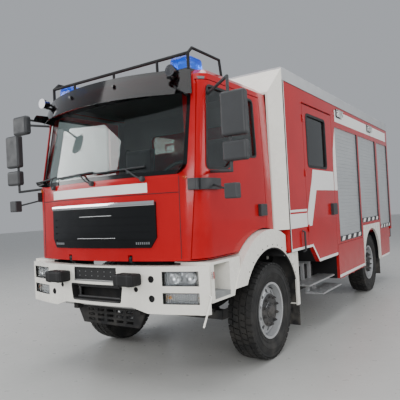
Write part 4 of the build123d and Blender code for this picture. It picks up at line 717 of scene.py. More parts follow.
def grown(outline: Sequence[Pair], margin: float) -> list[Pair]:
    """Outline moved outwards, or inwards for a negative margin.

    Args:
        outline: closed outline of a convex shape.
        margin: distance that each side moves.

    Returns:
        The moved outline.
    """
    middle = sum((Vector(p) for p in outline), Vector((0, 0))) / len(outline)
    moved = []
    for i, point in enumerate(outline):
        side = Vector(outline[(i + 1) % len(outline)]) - Vector(outline[i - 1])
        normal = Vector((side.y, -side.x)).normalized()
        if normal.dot(Vector(point) - middle) < 0:
            normal = -normal
        moved.append(tuple(Vector(point) + normal * margin))
    return moved


class Surface:
    """Outer skin of some CAD nodes, which trims and films are laid on."""

    def __init__(self, *names: str) -> None:
        """Read the nodes' meshes at rest.

        Args:
            names: names of the nodes.
        """
        self.trees = []
        for name in names:
            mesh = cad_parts[name].data
            corners = [v.co.copy() for v in mesh.vertices]
            faces = [tuple(p.vertices) for p in mesh.polygons]
            self.trees.append(BVHTree.FromPolygons(corners, faces))

    def hit(self, start: Point, direction: Point) -> Optional[Vector]:
        """Nearest point that a straight line meets.

        Args:
            start: where the line begins.
            direction: where it points.

        Returns:
            The point, or None where the line misses.
        """
        found = [tree.ray_cast(Vector(start), Vector(direction)) for tree in self.trees]
        hits = [place for place, _, _, _ in found if place is not None]
        return min(hits, key=lambda p: (p - Vector(start)).length) if hits else None

    def from_front(self, x: float, z: float, fallback: float = -3.6) -> Vector:
        """Point of the skin seen from the front at a width and a height."""
        return self.hit((x, -6.0, z), (0, 1, 0)) or Vector((x, fallback, z))


def mount(made: bpy.types.Object, body: str) -> None:
    """Put a piece into the scene and on its body.

    Args:
        made: the piece.
        body: CAD body that it moves with.
    """
    bpy.context.scene.collection.objects.link(made)
    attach(made, body)
    LOG.info("made %s on %s", made.name, body)


class Bench:
    """Mesh of one piece while it is being made."""

    def __init__(self) -> None:
        """Start with an empty mesh."""
        self.mesh = bmesh.new()

    def vertices(self, points: Iterable[Sequence[float]]) -> list[bmesh.types.BMVert]:
        """Add loose points and hand them back."""
        return [self.mesh.verts.new(p) for p in points]

    def skin(self, rings: Sequence[Sequence[Point]], closed: bool = True, caps: bool = True,
             around: bool = False) -> None:
        """Join rings of points with faces.

        Args:
            rings: rings with the same number of points.
            closed: whether each ring closes on itself.
            caps: whether the first and last ring are filled.
            around: whether the last ring joins the first.
        """
        made = [self.vertices(ring) for ring in rings]
        count = len(made[0])
        last = len(made) if around else len(made) - 1
        for i in range(last):
            low, high = made[i], made[(i + 1) % len(made)]
            for k in range(count if closed else count - 1):
                n = (k + 1) % count
                self.mesh.faces.new((low[k], low[n], high[n], high[k]))
        if caps and closed and not around:
            self.mesh.faces.new(made[0])
            self.mesh.faces.new(made[-1])

    def prism(self, outline: Sequence[Pair], axis: Axis, start: float, end: float) -> None:
        """Run an outline, pairs of the other two coordinates, along an axis."""
        self.skin([[axis.point(run, flat) for flat in outline] for run in (start, end)])

    def box(self, low: Point, high: Point, taper: float = 0.0) -> None:
        """Box between two corners.

        Args:
            low: one corner.
            high: the corner across from it.
            taper: how far the sides of its top are drawn in.
        """
        x0, y0, z0 = low
        x1, y1, z1 = high
        foot = [(x0, y0, z0), (x1, y0, z0), (x1, y1, z0), (x0, y1, z0)]
        head = [(x0 + taper, y0 + taper, z1), (x1 - taper, y0 + taper, z1),
                (x1 - taper, y1 - taper, z1), (x0 + taper, y1 - taper, z1)]
        self.skin([foot, head])

    def turned(self, profile: Sequence[Pair], centre: Point, direction: Point, steps: int = 32,
               ring: bool = False) -> None:
        """Turn a profile round an axis.

        Args:
            profile: pairs of radius and distance along the axis.
            centre: point on the axis where the distance is nought.
            direction: the axis.
            steps: number of stretches round the axis.
            ring: whether the profile closes on itself, as a tyre's does.
        """
        axis = Vector(direction).normalized()
        side = axis.orthogonal().normalized()
        other = axis.cross(side)
        rings = []
        for radius, run in profile:
            turn = [2 * math.pi * i / steps for i in range(steps)]
            rings.append([Vector(centre) + axis * run
                          + (side * math.cos(t) + other * math.sin(t)) * radius for t in turn])
        self.skin(rings, caps=not ring, around=ring)

    def tube(self, points: Sequence[Point], radius: float, sides: int = 10, around: bool = False) -> None:
        """Tube of even thickness along points.

        Args:
            points: the middle line.
            radius: radius of the tube.
            sides: number of flats round it.
            around: whether the line closes on itself.
        """
        line = [Vector(p) for p in points]
        count = len(line)
        rings = []
        side = None
        for i, here in enumerate(line):
            before = line[i - 1] if i or around else here
            after = line[(i + 1) % count] if i < count - 1 or around else here
            run = (after - before).normalized()
            side = run.orthogonal() if side is None else side - run * side.dot(run)
            side.normalize()
            other = run.cross(side)
            rings.append([here + (side * math.cos(a) + other * math.sin(a)) * radius
                          for a in (2 * math.pi * k / sides for k in range(sides))])
        self.skin(rings, around=around)

    def film(self, outline: Sequence[Pair], side: Side, half: float, thick: float = FILM) -> None:
        """Thin flat trim on a side wall, from pairs of (distance behind the front axle, height)."""
        flat = [(along(y), z) for y, z in outline]
        self.prism(flat, Axis.X, side.value * (half + 0.0002), side.value * (half + thick))

    def frame_ring(self, outline: Sequence[Pair], width: float, axis: Axis, start: float,
                   end: float) -> None:
        """Even frame round an outline, such as a window seal.

        Args:
            outline: closed outline on the inside of the frame.
            width: width of the frame.
            axis: direction of its depth.
            start: where its depth starts.
            end: where its depth ends.
        """
        outer = grown(outline, width)
        rings = [[axis.point(start, p) for p in outline], [axis.point(end, p) for p in outline],
                 [axis.point(end, p) for p in outer], [axis.point(start, p) for p in outer]]
        self.skin(rings, around=True)

    def bolt(self, place: Point, direction: Point, radius: float, height: float,
             washer: float = 1.5) -> None:
        """Hexagon bolt head on a washer.

        Args:
            place: middle of its foot.
            direction: the way that the head points.
            radius: radius of the head over its corners.
            height: height of the head.
            washer: radius of the washer as a share of the head's.
        """
        rim = radius * washer
        foot = [(rim, 0.0), (rim, height * 0.25), (rim * 0.94, height * 0.3)]
        head = [(radius, height * 0.3), (radius, height * 0.9), (radius * 0.86, height)]
        self.turned(foot, place, direction, 18)
        self.turned(head, place, direction, 6)

    def shape(self, name: str) -> bpy.types.Mesh:
        """Finished mesh, with its faces turned outwards.

        Args:
            name: name of the mesh.

        Returns:
            The mesh.
        """
        bmesh.ops.recalc_face_normals(self.mesh, faces=self.mesh.faces)
        data = bpy.data.meshes.new(name)
        self.mesh.to_mesh(data)
        self.mesh.free()
        return data

    def piece(self, name: str, body: str, finish: str, slot: str, bevel: float = 0.0,
              corner: float = 35.0) -> bpy.types.Object:
        """Turn the mesh into a piece that rides on a body.

        Args:
            name: name of the piece.
            body: CAD body that it moves with.
            finish: name of its finish.
            slot: material slot of the record that it belongs to; not used.
            bevel: width of the rounding on its sharp edges.
            corner: angle above which an edge stays sharp, in degrees.

        Returns:
            The object.
        """
        data = self.shape(name)
        data.materials.append(paint(finish))
        data.shade_smooth()
        data.set_sharp_from_angle(angle=math.radians(corner))
        made = bpy.data.objects.new(name, data)
        if bevel:
            edge = made.modifiers.new("rounded_edges", "BEVEL")
            edge.width = bevel
            edge.segments = 2
            edge.limit_method = "ANGLE"
        mount(made, body)
        return made


@dataclass
class Tyre:
    """Road tyre with sidewall rings, shoulder lugs and staggered centre blocks."""

    place: str
    hub: Point
    outer: float = 0.52
    carcass: float = 0.507
    half: float = 0.149
    bead: float = 0.2905
    bead_steps: Outline = ((0.0, 0.1), (0.012, 0.112), (0.028, 0.119))
    belly: Point = (0.42, 0.03, 0.13)
    ring_radii: Row = (0.345, 0.405, 0.462)
    ring: Point = (0.004, 0.002, 0.0035)
    shoulder: Outline = ((0.488, 0.014), (0.5, 0.024), (0.507, 0.04))
    pitches: int = 46
    block_margin: float = 0.003
    block_drop: Pair = (0.03, 0.008)
    lug: Row = (0.0, 0.8, 0.078, 0.137, 0.015)
    middle_block: Row = (0.42, 0.84, 0.008, 0.07, 0.03)

    def profile(self) -> list[Pair]:
        """Closed section of the carcass.

        Returns:
            Pairs of (radius, place along the axle).
        """
        wall = [(self.bead + rise, run) for rise, run in self.bead_steps]
        middle, hollow, reach = self.belly
        foot, head, height = self.ring
        for radius in self.ring_radii:
            bulge = self.half - foot - hollow * abs(radius - middle) / reach
            wall += [(radius - foot, bulge - height), (radius - head, bulge), (radius + head, bulge),
                     (radius + foot, bulge - height)]
        wall += [(radius, self.half - inward) for radius, inward in self.shoulder]
        return wall + [(radius, -run) for radius, run in reversed(wall)]

    def block(self, bench: Bench, angle: float, width: float, inner: float, outer: float,
              skew: float) -> None:
        """Add one tread block.

        Args:
            bench: mesh that it goes into.
            angle: where it lies round the tyre, in radians.
            width: its width round the tyre, in radians.
            inner: where it starts along the axle.
            outer: where it ends along the axle.
            skew: how far its outer end is turned on, in radians.
        """
        rings = []
        shoulder, fall = self.block_drop
        for radius, margin in ((self.carcass - self.block_margin, 0.0), (self.outer, self.block_margin)):
            turn = margin / self.outer
            trim = math.copysign(margin, outer - inner)
            corners = ((inner + trim, -width / 2 + turn, 0), (inner + trim, width / 2 - turn, 0),
                       (outer - trim, width / 2 - turn, skew), (outer - trim, -width / 2 + turn, skew))
            ring = []
            for run, offset, lean in corners:
                drop = fall if abs(run) > self.half - shoulder else 0.0
                t = angle + offset + lean
                ring.append((self.hub[0] + run, self.hub[1] + math.cos(t) * (radius - drop),
                             self.hub[2] + math.sin(t) * (radius - drop)))
            rings.append(ring)
        bench.skin(rings)

    def build(self) -> None:
        """Make the tyre in place of the plain solid."""
        bench = Bench()
        bench.turned(self.profile(), self.hub, (1, 0, 0), steps=96, ring=True)
        pitch = 2 * math.pi / self.pitches
        for i in range(self.pitches):
            for hand in (1, -1):
                start = pitch * i + (pitch / 2 if hand < 0 else 0)
                for shift, width, inner, outer, skew in (self.lug, self.middle_block):
                    self.block(bench, start + pitch * shift, pitch * width, hand * inner, hand * outer,
                               hand * skew)
        name = f"treaded_tyre_{self.place}"
        tyre = bench.piece(name, f"wheel_{self.place}", "tyre_rubber", "tyre_rubber", corner=28)
        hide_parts(f"tyre_{self.place}")


@dataclass
class WheelFittings:
    """Wheel nuts with their plate, hub cover and valve on one disc wheel."""

    place: str
    side: Side
    hub: Point
    nuts: int = 10
    nut_ring: float = 0.15
    nut_face: float = 0.094
    nut: Point = (0.018, 0.03, 1.25)
    stud_face: float = 0.122
    stud: Outline = ((0.009, 0), (0.009, 0.014), (0.006, 0.017))
    plate: Outline = ((0.178, -0.0105), (0.178, -0.0065), (0.172, -0.005), (0.084, -0.005),
                      (0.084, -0.0105))
    cover_face: float = 0.104
    cover: Outline = ((0.088, -0.006), (0.088, 0.006), (0.082, 0.012), (0.058, 0.014), (0.052, 0.024),
                      (0.044, 0.03), (0.012, 0.033))
    cover_bolts: int = 12
    cover_bolt_ring: float = 0.072
    cover_bolt_face: float = 0.117
    cover_bolt: Point = (0.0075, 0.008, 1.2)
    valve: Outline = ((0.245, 0.06), (0.243, 0.085), (0.232, 0.105))
    valve_angle: float = 1.2
    valve_radius: float = 0.0045

    def point(self, radius: float, angle: float, out: float) -> Point:
        """Place on the wheel by radius, angle and distance out from its middle."""
        x, y, z = self.hub
        return (x + self.side.value * out, y + radius * math.cos(angle), z + radius * math.sin(angle))

    def build(self) -> None:
        """Make the nuts, the hub cover and the valve."""
        out = (self.side.value, 0, 0)
        body = f"wheel_{self.place}"
        bench = Bench()
        for i in range(self.nuts):
            angle = 2 * math.pi * (i + 0.5) / self.nuts
            bench.bolt(self.point(self.nut_ring, angle, self.nut_face), out, *self.nut)
            bench.turned(self.stud, self.point(self.nut_ring, angle, self.stud_face), out, 10)
        bench.piece(f"wheel_nuts_{self.place}", body, "cast_metal", "wheel_steel", 0.0008)

        bench = Bench()
        face = self.point(0, 0, self.cover_face)
        bench.turned(self.cover, face, out, 36)
        bench.turned(self.plate, face, out, 48, ring=True)
        for i in range(self.cover_bolts):
            angle = 2 * math.pi * i / self.cover_bolts
            foot = self.point(self.cover_bolt_ring, angle, self.cover_bolt_face)
            bench.bolt(foot, out, *self.cover_bolt)
        bench.piece(f"hub_cover_{self.place}", body, "cast_metal", "cast_metal", 0.0008)

        bench = Bench()
        stem = [self.point(radius, self.valve_angle, run) for radius, run in self.valve]
        bench.tube(stem, self.valve_radius, 8)
        bench.piece(f"valve_{self.place}", body, "seal_rubber", "tyre_rubber")


def build_wheels() -> None:
    """Make the four tyres and their wheels' fittings."""
    for place, side in WHEEL_PLACES.items():
        low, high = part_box(f"tyre_{place}")
        hub = tuple((low + high) / 2)
        Tyre(place, hub).build()
        WheelFittings(place, side, hub).build()


@dataclass
class OneSide:
    """Sub-assembly of one side of the vehicle."""

    side: Side


@dataclass
class Livery(OneSide):
    """White films and edge trims on the body's side."""

    panel: Box = ((0.463, 1.37), (1.008, 1.54))
    thin: Box = ((0.463, 1.562), (1.008, 1.59))
    door_stripe: Outline = (
        (1.03, 1.37), (1.165, 1.37), (1.395, 1.83), (2.155, 1.83), (2.155, 2.1), (1.29, 2.1),
        (1.24, 1.96), (1.03, 1.545))
    rear_wedge: Outline = ((2.178, 1.83), (2.198, 1.83), (2.198, 2.42), (2.178, 2.2))
    corner_wedge: Outline = ((2.205, 1.83), (2.322, 1.83), (2.322, 2.76), (2.205, 2.44))
    band: Box = ((2.36, 2.872), (5.8, 3.052))
    cabin_edge: Outline = ((0.463, 1.101), (1.01, 1.101))
    rear_edge: Box = ((4.9, 0.522), (5.595, 0.56))
    door_edge: Outline = ((1.15, 1.101), (1.38, 0.881), (2.163, 0.881))
    door_front_edge: Outline = ((1.022, 1.101), (1.15, 1.101))
    flap_edge: Box = ((2.212, 0.54), (3.632, 0.58))
    trim: float = 0.03
    door_trim: float = 0.038
    trim_thick: float = 0.004
    out: float = BODY_HALF

    def strip(self, line: Sequence[Pair], height: float) -> list[Pair]:
        """Outline of a strip of even height that stands on a lower edge."""
        return list(line) + [(y, z + height) for y, z in reversed(line)]

    def build(self) -> None:
        """Lay the films of one side."""
        side, tag = self.side, self.side.label
        white, slot = "stripe_white", "warm_white"
        bench = Bench()
        for outline in (oblong(*self.panel), oblong(*self.thin), self.rear_wedge, oblong(*self.band),
                        self.corner_wedge):
            bench.film(outline, side, self.out)
        bench.piece(f"white_stripes_{tag}", "chassis", white, slot)

        bench = Bench()
        bench.film(self.door_stripe, side, self.out)
        bench.piece(f"door_stripe_{tag}", f"crew_door_{tag}", white, slot)

        bench = Bench()
        bench.film(self.strip(self.cabin_edge, self.trim), side, self.out, self.trim_thick)
        bench.film(oblong(*self.rear_edge), side, self.out, self.trim_thick)
        bench.piece(f"edge_trims_{tag}", "chassis", white, slot, 0.001)

        bench = Bench()
        bench.film(self.strip(self.door_edge, self.door_trim), side, self.out, self.trim_thick)
        bench.film(self.strip(self.door_front_edge, self.trim), side, self.out, self.trim_thick)
        bench.piece(f"door_edge_trim_{tag}", f"crew_door_{tag}", white, slot, 0.001)

        bench = Bench()
        bench.film(oblong(*self.flap_edge), side, self.out, self.trim_thick)
        bench.piece(f"flap_edge_trim_{tag}", f"locker_flap_{tag}", white, slot, 0.001)


@dataclass
class ShutterTrim(OneSide):
    """Foot bars with black and white block marks, and the side channels of the curtains."""

    curtains: tuple[Point, ...] = ((2.33, 3.56, 1.055), (3.62, 4.86, 1.27), (4.97, 5.88, 1.085))
    top: float = 2.79
    face: float = BODY_HALF - 0.022
    gap: float = 0.004
    bar: float = 0.078
    bar_thick: float = 0.006
    marks: int = 4
    mark: Point = (0.42, 0.45, 0.05)
    mark_height: Pair = (0.01, 0.07)
    post: float = 0.014
    post_thick: float = 0.02

    def build(self) -> None:
        """Make the trims of one side."""
        side, tag = self.side, self.side.label
        first, share, lean = self.mark
        dark, light, posts = Bench(), Bench(), Bench()
        for start, end, low in self.curtains:
            bar = oblong((start + self.gap, low + self.gap), (end - self.gap, low + self.bar))
            dark.film(bar, side, self.face, self.bar_thick)
            pitch = (end - start) / self.marks
            foot, head = (low + height for height in self.mark_height)
            for i in range(self.marks):
                near = start + pitch * (i + first)
                far = near + pitch * share
                light.film([(near, foot), (far, foot), (far + lean, head), (near + lean, head)], side,
                           self.face + self.bar_thick)
            for edge in (start, end - self.post):
                post = oblong((edge, low), (edge + self.post, self.top))
                posts.film(post, side, self.face, self.post_thick)
        dark.piece(f"shutter_foot_bars_{tag}", "chassis", "stripe_black", "dark_plastic", 0.001)
        light.piece(f"shutter_block_marks_{tag}", "chassis", "stripe_white", "warm_white")
        posts.piece(f"shutter_channels_{tag}", "chassis", "dark_plastic", "dark_plastic", 0.001)


@dataclass
class CabFront:
    """Screen border, wipers, grille trim and panel seams on the front of the cab."""

    screen_half: float = 1.0
    screen_low: float = 1.985
    screen_top: float = 2.8
    taper: float = 0.012
    corner: float = 0.11
    edge: float = 0.002
    step: float = 0.05
    border: float = 0.042
    border_out: Row = (0.0015, 0.009, 0.0045, 0.0015)
    wipers: tuple[Point, ...] = ((0.58, -0.02, 0.62), (-0.03, -0.63, 0.6), (-0.68, -0.97, 0.3))
    spindle: Outline = ((0.026, -0.004), (0.026, 0.022), (0.02, 0.034), (0.006, 0.036))
    spindle_drop: float = 0.022
    spindle_way: Point = (0, -1, 0.1)
    arm_root: Point = (0, -0.026, 0)
    arm_knee: Point = (0.3, -0.04, 0.03)
    arm_tip: Point = (0.1, 0.09, 0.034)
    arm_radius: float = 0.008
    blade: Row = (0.98, 0.075, 0.02, 0.02)
    blade_radius: float = 0.009
    lip_in: Point = (0, 0.011, 0)
    lip_radius: float = 0.005
    seam: Row = (0.93, 20, 1.822, 0.0004)
    seam_heights: Row = (1.225, 1.4, 1.6, 1.75, 1.825, 1.9, 1.968)
    seam_radius: float = 0.0035
    strip: Row = (0.7, 24, 1.738, 0.0)
    strip_section: Outline = ((0.004, -0.022), (-0.01, -0.018), (-0.013, 0.0), (-0.008, 0.022),
                              (0.004, 0.026))
    lines: tuple[Row, ...] = ((0.26, 10, 1.425, 0.002), (0.22, 10, 1.64, 0.002))
    line_radius: float = 0.0035
    fins: int = 7
    fin_run: Point = (0.5, 0.022, 1.372)
    fin_box: tuple[Point, Point] = ((-0.007, -0.004, -0.01), (0.007, 0.004, 0.012))

    def outline(self) -> list[Pair]:
        """Outline of the screen with points at even, short steps.

        Returns:
            Pairs of (place across, height).
        """
        half = self.screen_half - self.edge
        low, top = self.screen_low + self.edge, self.screen_top - self.edge
        corners = [(-half, low), (half, low), (half - self.taper, top), (-half + self.taper, top)]
        sparse = rounded(corners, self.corner, 8)
        dense = []
        for point, after in zip(sparse, sparse[1:] + sparse[:1]):
            cuts = max(1, int(math.dist(point, after) / self.step))
            dense += [tuple(Vector(point).lerp(Vector(after), k / cuts)) for k in range(cuts)]
        return dense

    def on_skin(self, skin: Surface, flat: Pair, out: float) -> Vector:
        """Point in front of the skin by a distance, seen from the front."""
        place = skin.from_front(*flat)
        return Vector((place.x, place.y - out, place.z))

    def across(self, skin: Surface, half: float, cuts: int, z: float, out: float) -> list[Vector]:
        """Level line over the skin by half length, cuts in each half, height and distance out."""
        return [self.on_skin(skin, (k / cuts * half, z), out) for k in range(-cuts, cuts + 1)]

    def seal(self, glass: Surface) -> None:
        """Make the black border and rubber seal round the screen.

        Args:
            glass: skin of the screen.
        """
        outer = self.outline()
        inner = grown(outer, -self.border)
        sheets = [[self.on_skin(glass, p, out) for p in line]
                  for line, out in zip((outer, outer, inner, inner), self.border_out)]
        bench = Bench()
        bench.skin(sheets, around=True)
        bench.piece("screen_border", "cab", "gloss_black", "gloss_black")

    def wiper_set(self, glass: Surface, shell: Surface) -> None:
        """Make three wipers parked along the screen's lower edge.

        Args:
            glass: skin of the screen.
            shell: skin of the cab below it.
        """
        bench = Bench()
        shift, rise, out = self.arm_tip
        share, low, climb, before = self.blade
        for pivot, tip, length in self.wipers:
            foot = self.on_skin(shell, (pivot, self.screen_low - self.spindle_drop), 0.0)
            bench.turned(self.spindle, foot, self.spindle_way, 16)
            middle = (pivot + tip) / 2 + shift
            arm_end = self.on_skin(glass, (middle, self.screen_low + rise), out)
            knee = Vector(((middle - pivot) * self.arm_knee[0], *self.arm_knee[1:]))
            bench.tube([foot + Vector(self.arm_root), foot + knee, arm_end], self.arm_radius, 8)
            line = [(tip + length * share * k / 8, self.screen_low + low + climb * k / 8) for k in range(9)]
            blade = [self.on_skin(glass, flat, before) for flat in line]
            bench.tube(blade, self.blade_radius, 8)
            bench.tube([point + Vector(self.lip_in) for point in blade], self.lip_radius, 6)
        bench.piece("wipers", "cab", "dark_plastic", "dark_plastic", 0.0006)

    def seams(self, shell: Surface) -> None:
        """Make the narrow dark seams of the front panel.

        Args:
            shell: skin of the cab.
        """
        bench = Bench()
        bench.tube(self.across(shell, *self.seam), self.seam_radius, 6)
        half, *_, out = self.seam
        for hand in (1, -1):
            drop = [self.on_skin(shell, (hand * half, z), out) for z in self.seam_heights]
            bench.tube(drop, self.seam_radius, 6)
        bench.piece("front_panel_seams", "cab", "seal_rubber", "dark_plastic")

    def grille_trim(self, grille: Surface) -> None:
        """Make the bright strip, lines and fins over the grille.

        Args:
            grille: skin of the grille.
        """
        bench = Bench()
        bench.skin([[(x, y + back, z + up) for back, up in self.strip_section]
                    for x, y, z in self.across(grille, *self.strip)])
        bench.piece("grille_strip", "cab", "horn_chrome", "horn_chrome")
        bench = Bench()
        for line in self.lines:
            bench.tube(self.across(grille, *line), self.line_radius, 6)
        start, pitch, z = self.fin_run
        low, high = (Vector(corner) for corner in self.fin_box)
        for hand in (1, -1):
            for k in range(self.fins):
                foot = self.on_skin(grille, (hand * (start + pitch * k), z), 0.0)
                bench.box(foot + low, foot + high)
        bench.piece("grille_bright_lines", "cab", "horn_chrome", "horn_chrome")

    def build(self) -> None:
        """Make all the front trims."""
        glass, shell = Surface("cab_glass"), Surface("cab_shell")
        self.seal(glass)
        self.wiper_set(glass, shell)
        self.seams(shell)
        self.grille_trim(Surface("grille_panel"))


@dataclass
class BumperFront:
    """Lamps, plate holder, winch mouth, straps and dark plugs on the bowed front bumper."""

    face: float = -1.465
    bow: float = 3.64
    pockets: Outline = ((0.99, 1.12), (0.83, 0.93))
    pocket: Pair = (0.77, 1.11)
    bezel: float = 0.007
    bezel_depth: Pair = (0.001, 0.0115)
    bowl_edge: float = 0.003
    bowl_depth: Pair = (0.053, 0.096)
    back_depth: Pair = (0.092, 0.096)
    lamps: Pair = (0.865, 1.01)
    lamp_seat: float = 0.091
    lamp_way: Pair = (0.12, -1)
    bowl: Outline = ((0.008, 0), (0.02, 0.002), (0.036, 0.01), (0.047, 0.021), (0.054, 0.036),
                     (0.057, 0.036), (0.057, 0.0))
    bulb: Outline = ((0.007, 0.004), (0.009, 0.012), (0.006, 0.021), (0.002, 0.023))
    ribs: int = 16
    rib: Row = (0.792, 0.0197, 0.0875, 0.0055)
    signals: Pair = (0.8, 1.08)
    signal_depth: float = 0.086
    signal_bulb: Outline = ((0.012, 0.0), (0.014, 0.012), (0.009, 0.026), (0.002, 0.029))
    mouth: Outline = ((-0.352, 0.986), (0.352, 0.986), (0.326, 0.82), (-0.326, 0.82))
    mouth_inset: float = 0.018
    liner: float = 0.016
    liner_depth: Pair = (0.09, 0.004)
    roller: float = 0.013
    level_rollers: Point = (0.285, 0.048, 0.958)
    low_roller: float = 0.85
    upright_rollers: Row = (0.292, 0.075, 0.842, 0.966)
    lip: tuple[Pair, Pair, Pair] = ((-0.3, 0.3), (0.823, 0.836), (-0.008, 0.05))
    plate: Box = ((-0.284, 1.013), (0.284, 1.149))
    plate_depth: float = 0.02
    plate_thick: float = 0.004
    plate_rim: float = 0.012
    plate_lip: float = 0.009
    studs: tuple[int, int] = (2, 6)
    stud_pitch: Pair = (0.042, 0.084)
    stud_low: float = 0.052
    stud: Outline = ((0.005, 0), (0.005, 0.003), (0.003, 0.004))
    foot_bar: Box = ((-0.282, 1.013), (0.282, 1.029))
    foot_bar_depth: Pair = (0.005, 0.016)
    plugs: tuple[Point, ...] = ((0.66, 1.05, 0.032), (0.66, 0.875, 0.032), (0.5, 0.955, 0.024))
    plug_gap: float = 0.0006
    cover_height: Pair = (1.0, 1.11)
    cover_run: Pair = (-1.5781, -1.457)
    strap_places: Pair = (0.4, 0.52)
    strap: Point = (0.02, 0.0022, 0.0008)
    buckle: Row = (0.015, 0.022, 0.046, 0.005)
    rod: Row = (0.64, -1.27, 0.752, 0.0268)
    sheet_half: float = 1.08
    sheet_height: Pair = (1.138, 1.144)
    sheet_near: float = 0.0955
    sheet_far: float = -1.236
    sheet_cuts: int = 12
    sheet_bend: float = 0.9

    def bowed(self, x: float, z: float, depth: float = 0.0) -> Point:
        """Point at a depth behind the bumper's bowed face."""
        return (x, along(self.face + self.bow - math.sqrt(self.bow ** 2 - x ** 2) + depth), z)

    def wall(self, bench: Bench, width: Pair, height: Pair, depth: Pair, steps: int = 8) -> None:
        """Add a bar that follows the bow.

        Args:
            bench: mesh that it goes into.
            width: its two ends across the vehicle.
            height: its foot and its head.
            depth: its front and its back behind the face.
            steps: number of stretches along it.
        """
        rings = []
        for i in range(steps + 1):
            x = width[0] + (width[1] - width[0]) * i / steps
            rings.append([self.bowed(x, height[0], depth[0]), self.bowed(x, height[0], depth[1]),
                          self.bowed(x, height[1], depth[1]), self.bowed(x, height[1], depth[0])])
        bench.skin(rings)

    def lamp_set(self) -> None:
        """Make dark bezels and bright bowls, ribs and bulbs behind the four lenses."""
        bezels, bowls, bulbs, signals = Bench(), Bench(), Bench(), Bench()
        for hand in (1, -1):
            inner, outer = (hand * x for x in self.pocket)
            for row, (low, top) in enumerate(self.pockets):
                for bench, depth, edge in ((bezels, self.bezel_depth, self.bezel),
                                           (bowls, self.bowl_depth, self.bowl_edge)):
                    self.wall(bench, (inner, outer), (low, low + edge), depth)
                    self.wall(bench, (inner, outer), (top - edge, top), depth)
                    self.wall(bench, (inner, inner + hand * edge), (low, top), depth, 1)
                    self.wall(bench, (outer - hand * edge, outer), (low, top), depth, 1)
                self.wall(bowls, (inner, outer), (low, top), self.back_depth)
                middle = (low + top) / 2
                if row == 0:
                    for x in self.lamps:
                        back = self.bowed(hand * x, middle, self.lamp_seat)
                        out = (hand * self.lamp_way[0], self.lamp_way[1], 0)
                        bowls.turned(self.bowl, back, out, 32)
                        bulbs.turned(self.bulb, back, out, 12)
                else:
                    start, pitch, depth, radius = self.rib
                    for k in range(self.ribs):
                        foot = self.bowed(hand * (start + pitch * k), low + self.bezel, depth)
                        bowls.tube([foot, (foot[0], foot[1], top - self.bezel)], radius, 8)
                    for x in self.signals:
                        back = self.bowed(hand * x, middle, self.signal_depth)
                        signals.turned(self.signal_bulb, back, (0, -1, 0), 14)
        bezels.piece("headlamp_bezels", "chassis", "seal_rubber", "dark_plastic", 0.001)
        bowls.piece("headlamp_bowls", "chassis", "reflector", "horn_chrome", corner=50)
        bulbs.piece("headlamp_bulbs", "chassis", "bulb_white", "lamp_glass")
        signals.piece("signal_bulbs", "chassis", "amber_lens", "lamp_glass")

    def winch_mouth(self) -> None:
        """Make the dark liner round the winch opening, its rollers and the grey lip."""
        inner = rounded(grown(self.mouth, -self.mouth_inset), 0.024, 4)
        outer = grown(inner, self.liner)
        back, front = self.liner_depth
        bench = Bench()
        bench.skin([[self.bowed(x, z, depth) for x, z in line] for line, depth in
                    ((inner, back), (inner, front), (outer, front), (outer, back))], around=True)
        bench.piece("winch_mouth_liner", "chassis", "seal_rubber", "dark_plastic")
        bench = Bench()
        half, depth, high = self.level_rollers
        for z in (high, self.low_roller):
            bench.tube([self.bowed(-half, z, depth), self.bowed(half, z, depth)], self.roller, 16)
        half, depth, low, top = self.upright_rollers
        for x in (-half, half):
            bench.tube([self.bowed(x, low, depth), self.bowed(x, top, depth)], self.roller, 16)
        self.wall(bench, *self.lip, 12)
        bench.piece("winch_rollers_and_lip", "chassis", "cast_metal", "cast_metal", 0.0015)

    def plate_holder(self) -> None:
        """Make the blank dark plate with rows of studs, and the bright bar at its foot."""
        (left, low), (right, top) = self.plate
        back = along(self.face + self.plate_depth)
        floor = back - self.plate_thick
        rim = self.plate_rim
        bench = Bench()
        bench.prism(oblong(*self.plate), Axis.Y, back, floor)
        inner = rounded(oblong((left + rim, low + rim), (right - rim, top - rim)), rim, 3)
        bench.frame_ring(inner, self.plate_lip, Axis.Y, floor, back - rim)
        bench.piece("blank_plate_holder", "chassis", "seal_rubber", "dark_plastic", 0.001)
        bench = Bench()
        rows, columns = self.studs
        up, across = self.stud_pitch
        for row in range(rows):
            for column in range(columns):
                x = (column - (columns - 1) / 2) * across
                bench.turned(self.stud, (x, floor, low + self.stud_low + row * up), (0, -1, 0), 10)
        bench.piece("plate_studs", "chassis", "worn_steel", "roof_aluminium")
        bench = Bench()
        near, far = self.foot_bar_depth
        bench.prism(oblong(*self.foot_bar), Axis.Y, back - near, back - far)
        bench.piece("plate_foot_bar", "chassis", "bare_steel", "roof_aluminium", 0.002)

    def plug_set(self) -> None:
        """Make dark cups in the round holes of the bumper."""
        bench = Bench()
        for hand in (1, -1):
            for x, z, radius in self.plugs:
                rim = radius - self.plug_gap
                cup = [(rim, -0.03), (rim, 0.0), (rim - 0.004, 0.001), (rim - 0.006, -0.012),
                       (0.008, -0.012), (0.006, -0.006)]
                bench.turned(cup, self.bowed(hand * x, z, 0.002), (0, -1, 0), 28)
        bench.piece("bumper_plugs", "chassis", "seal_rubber", "dark_plastic")

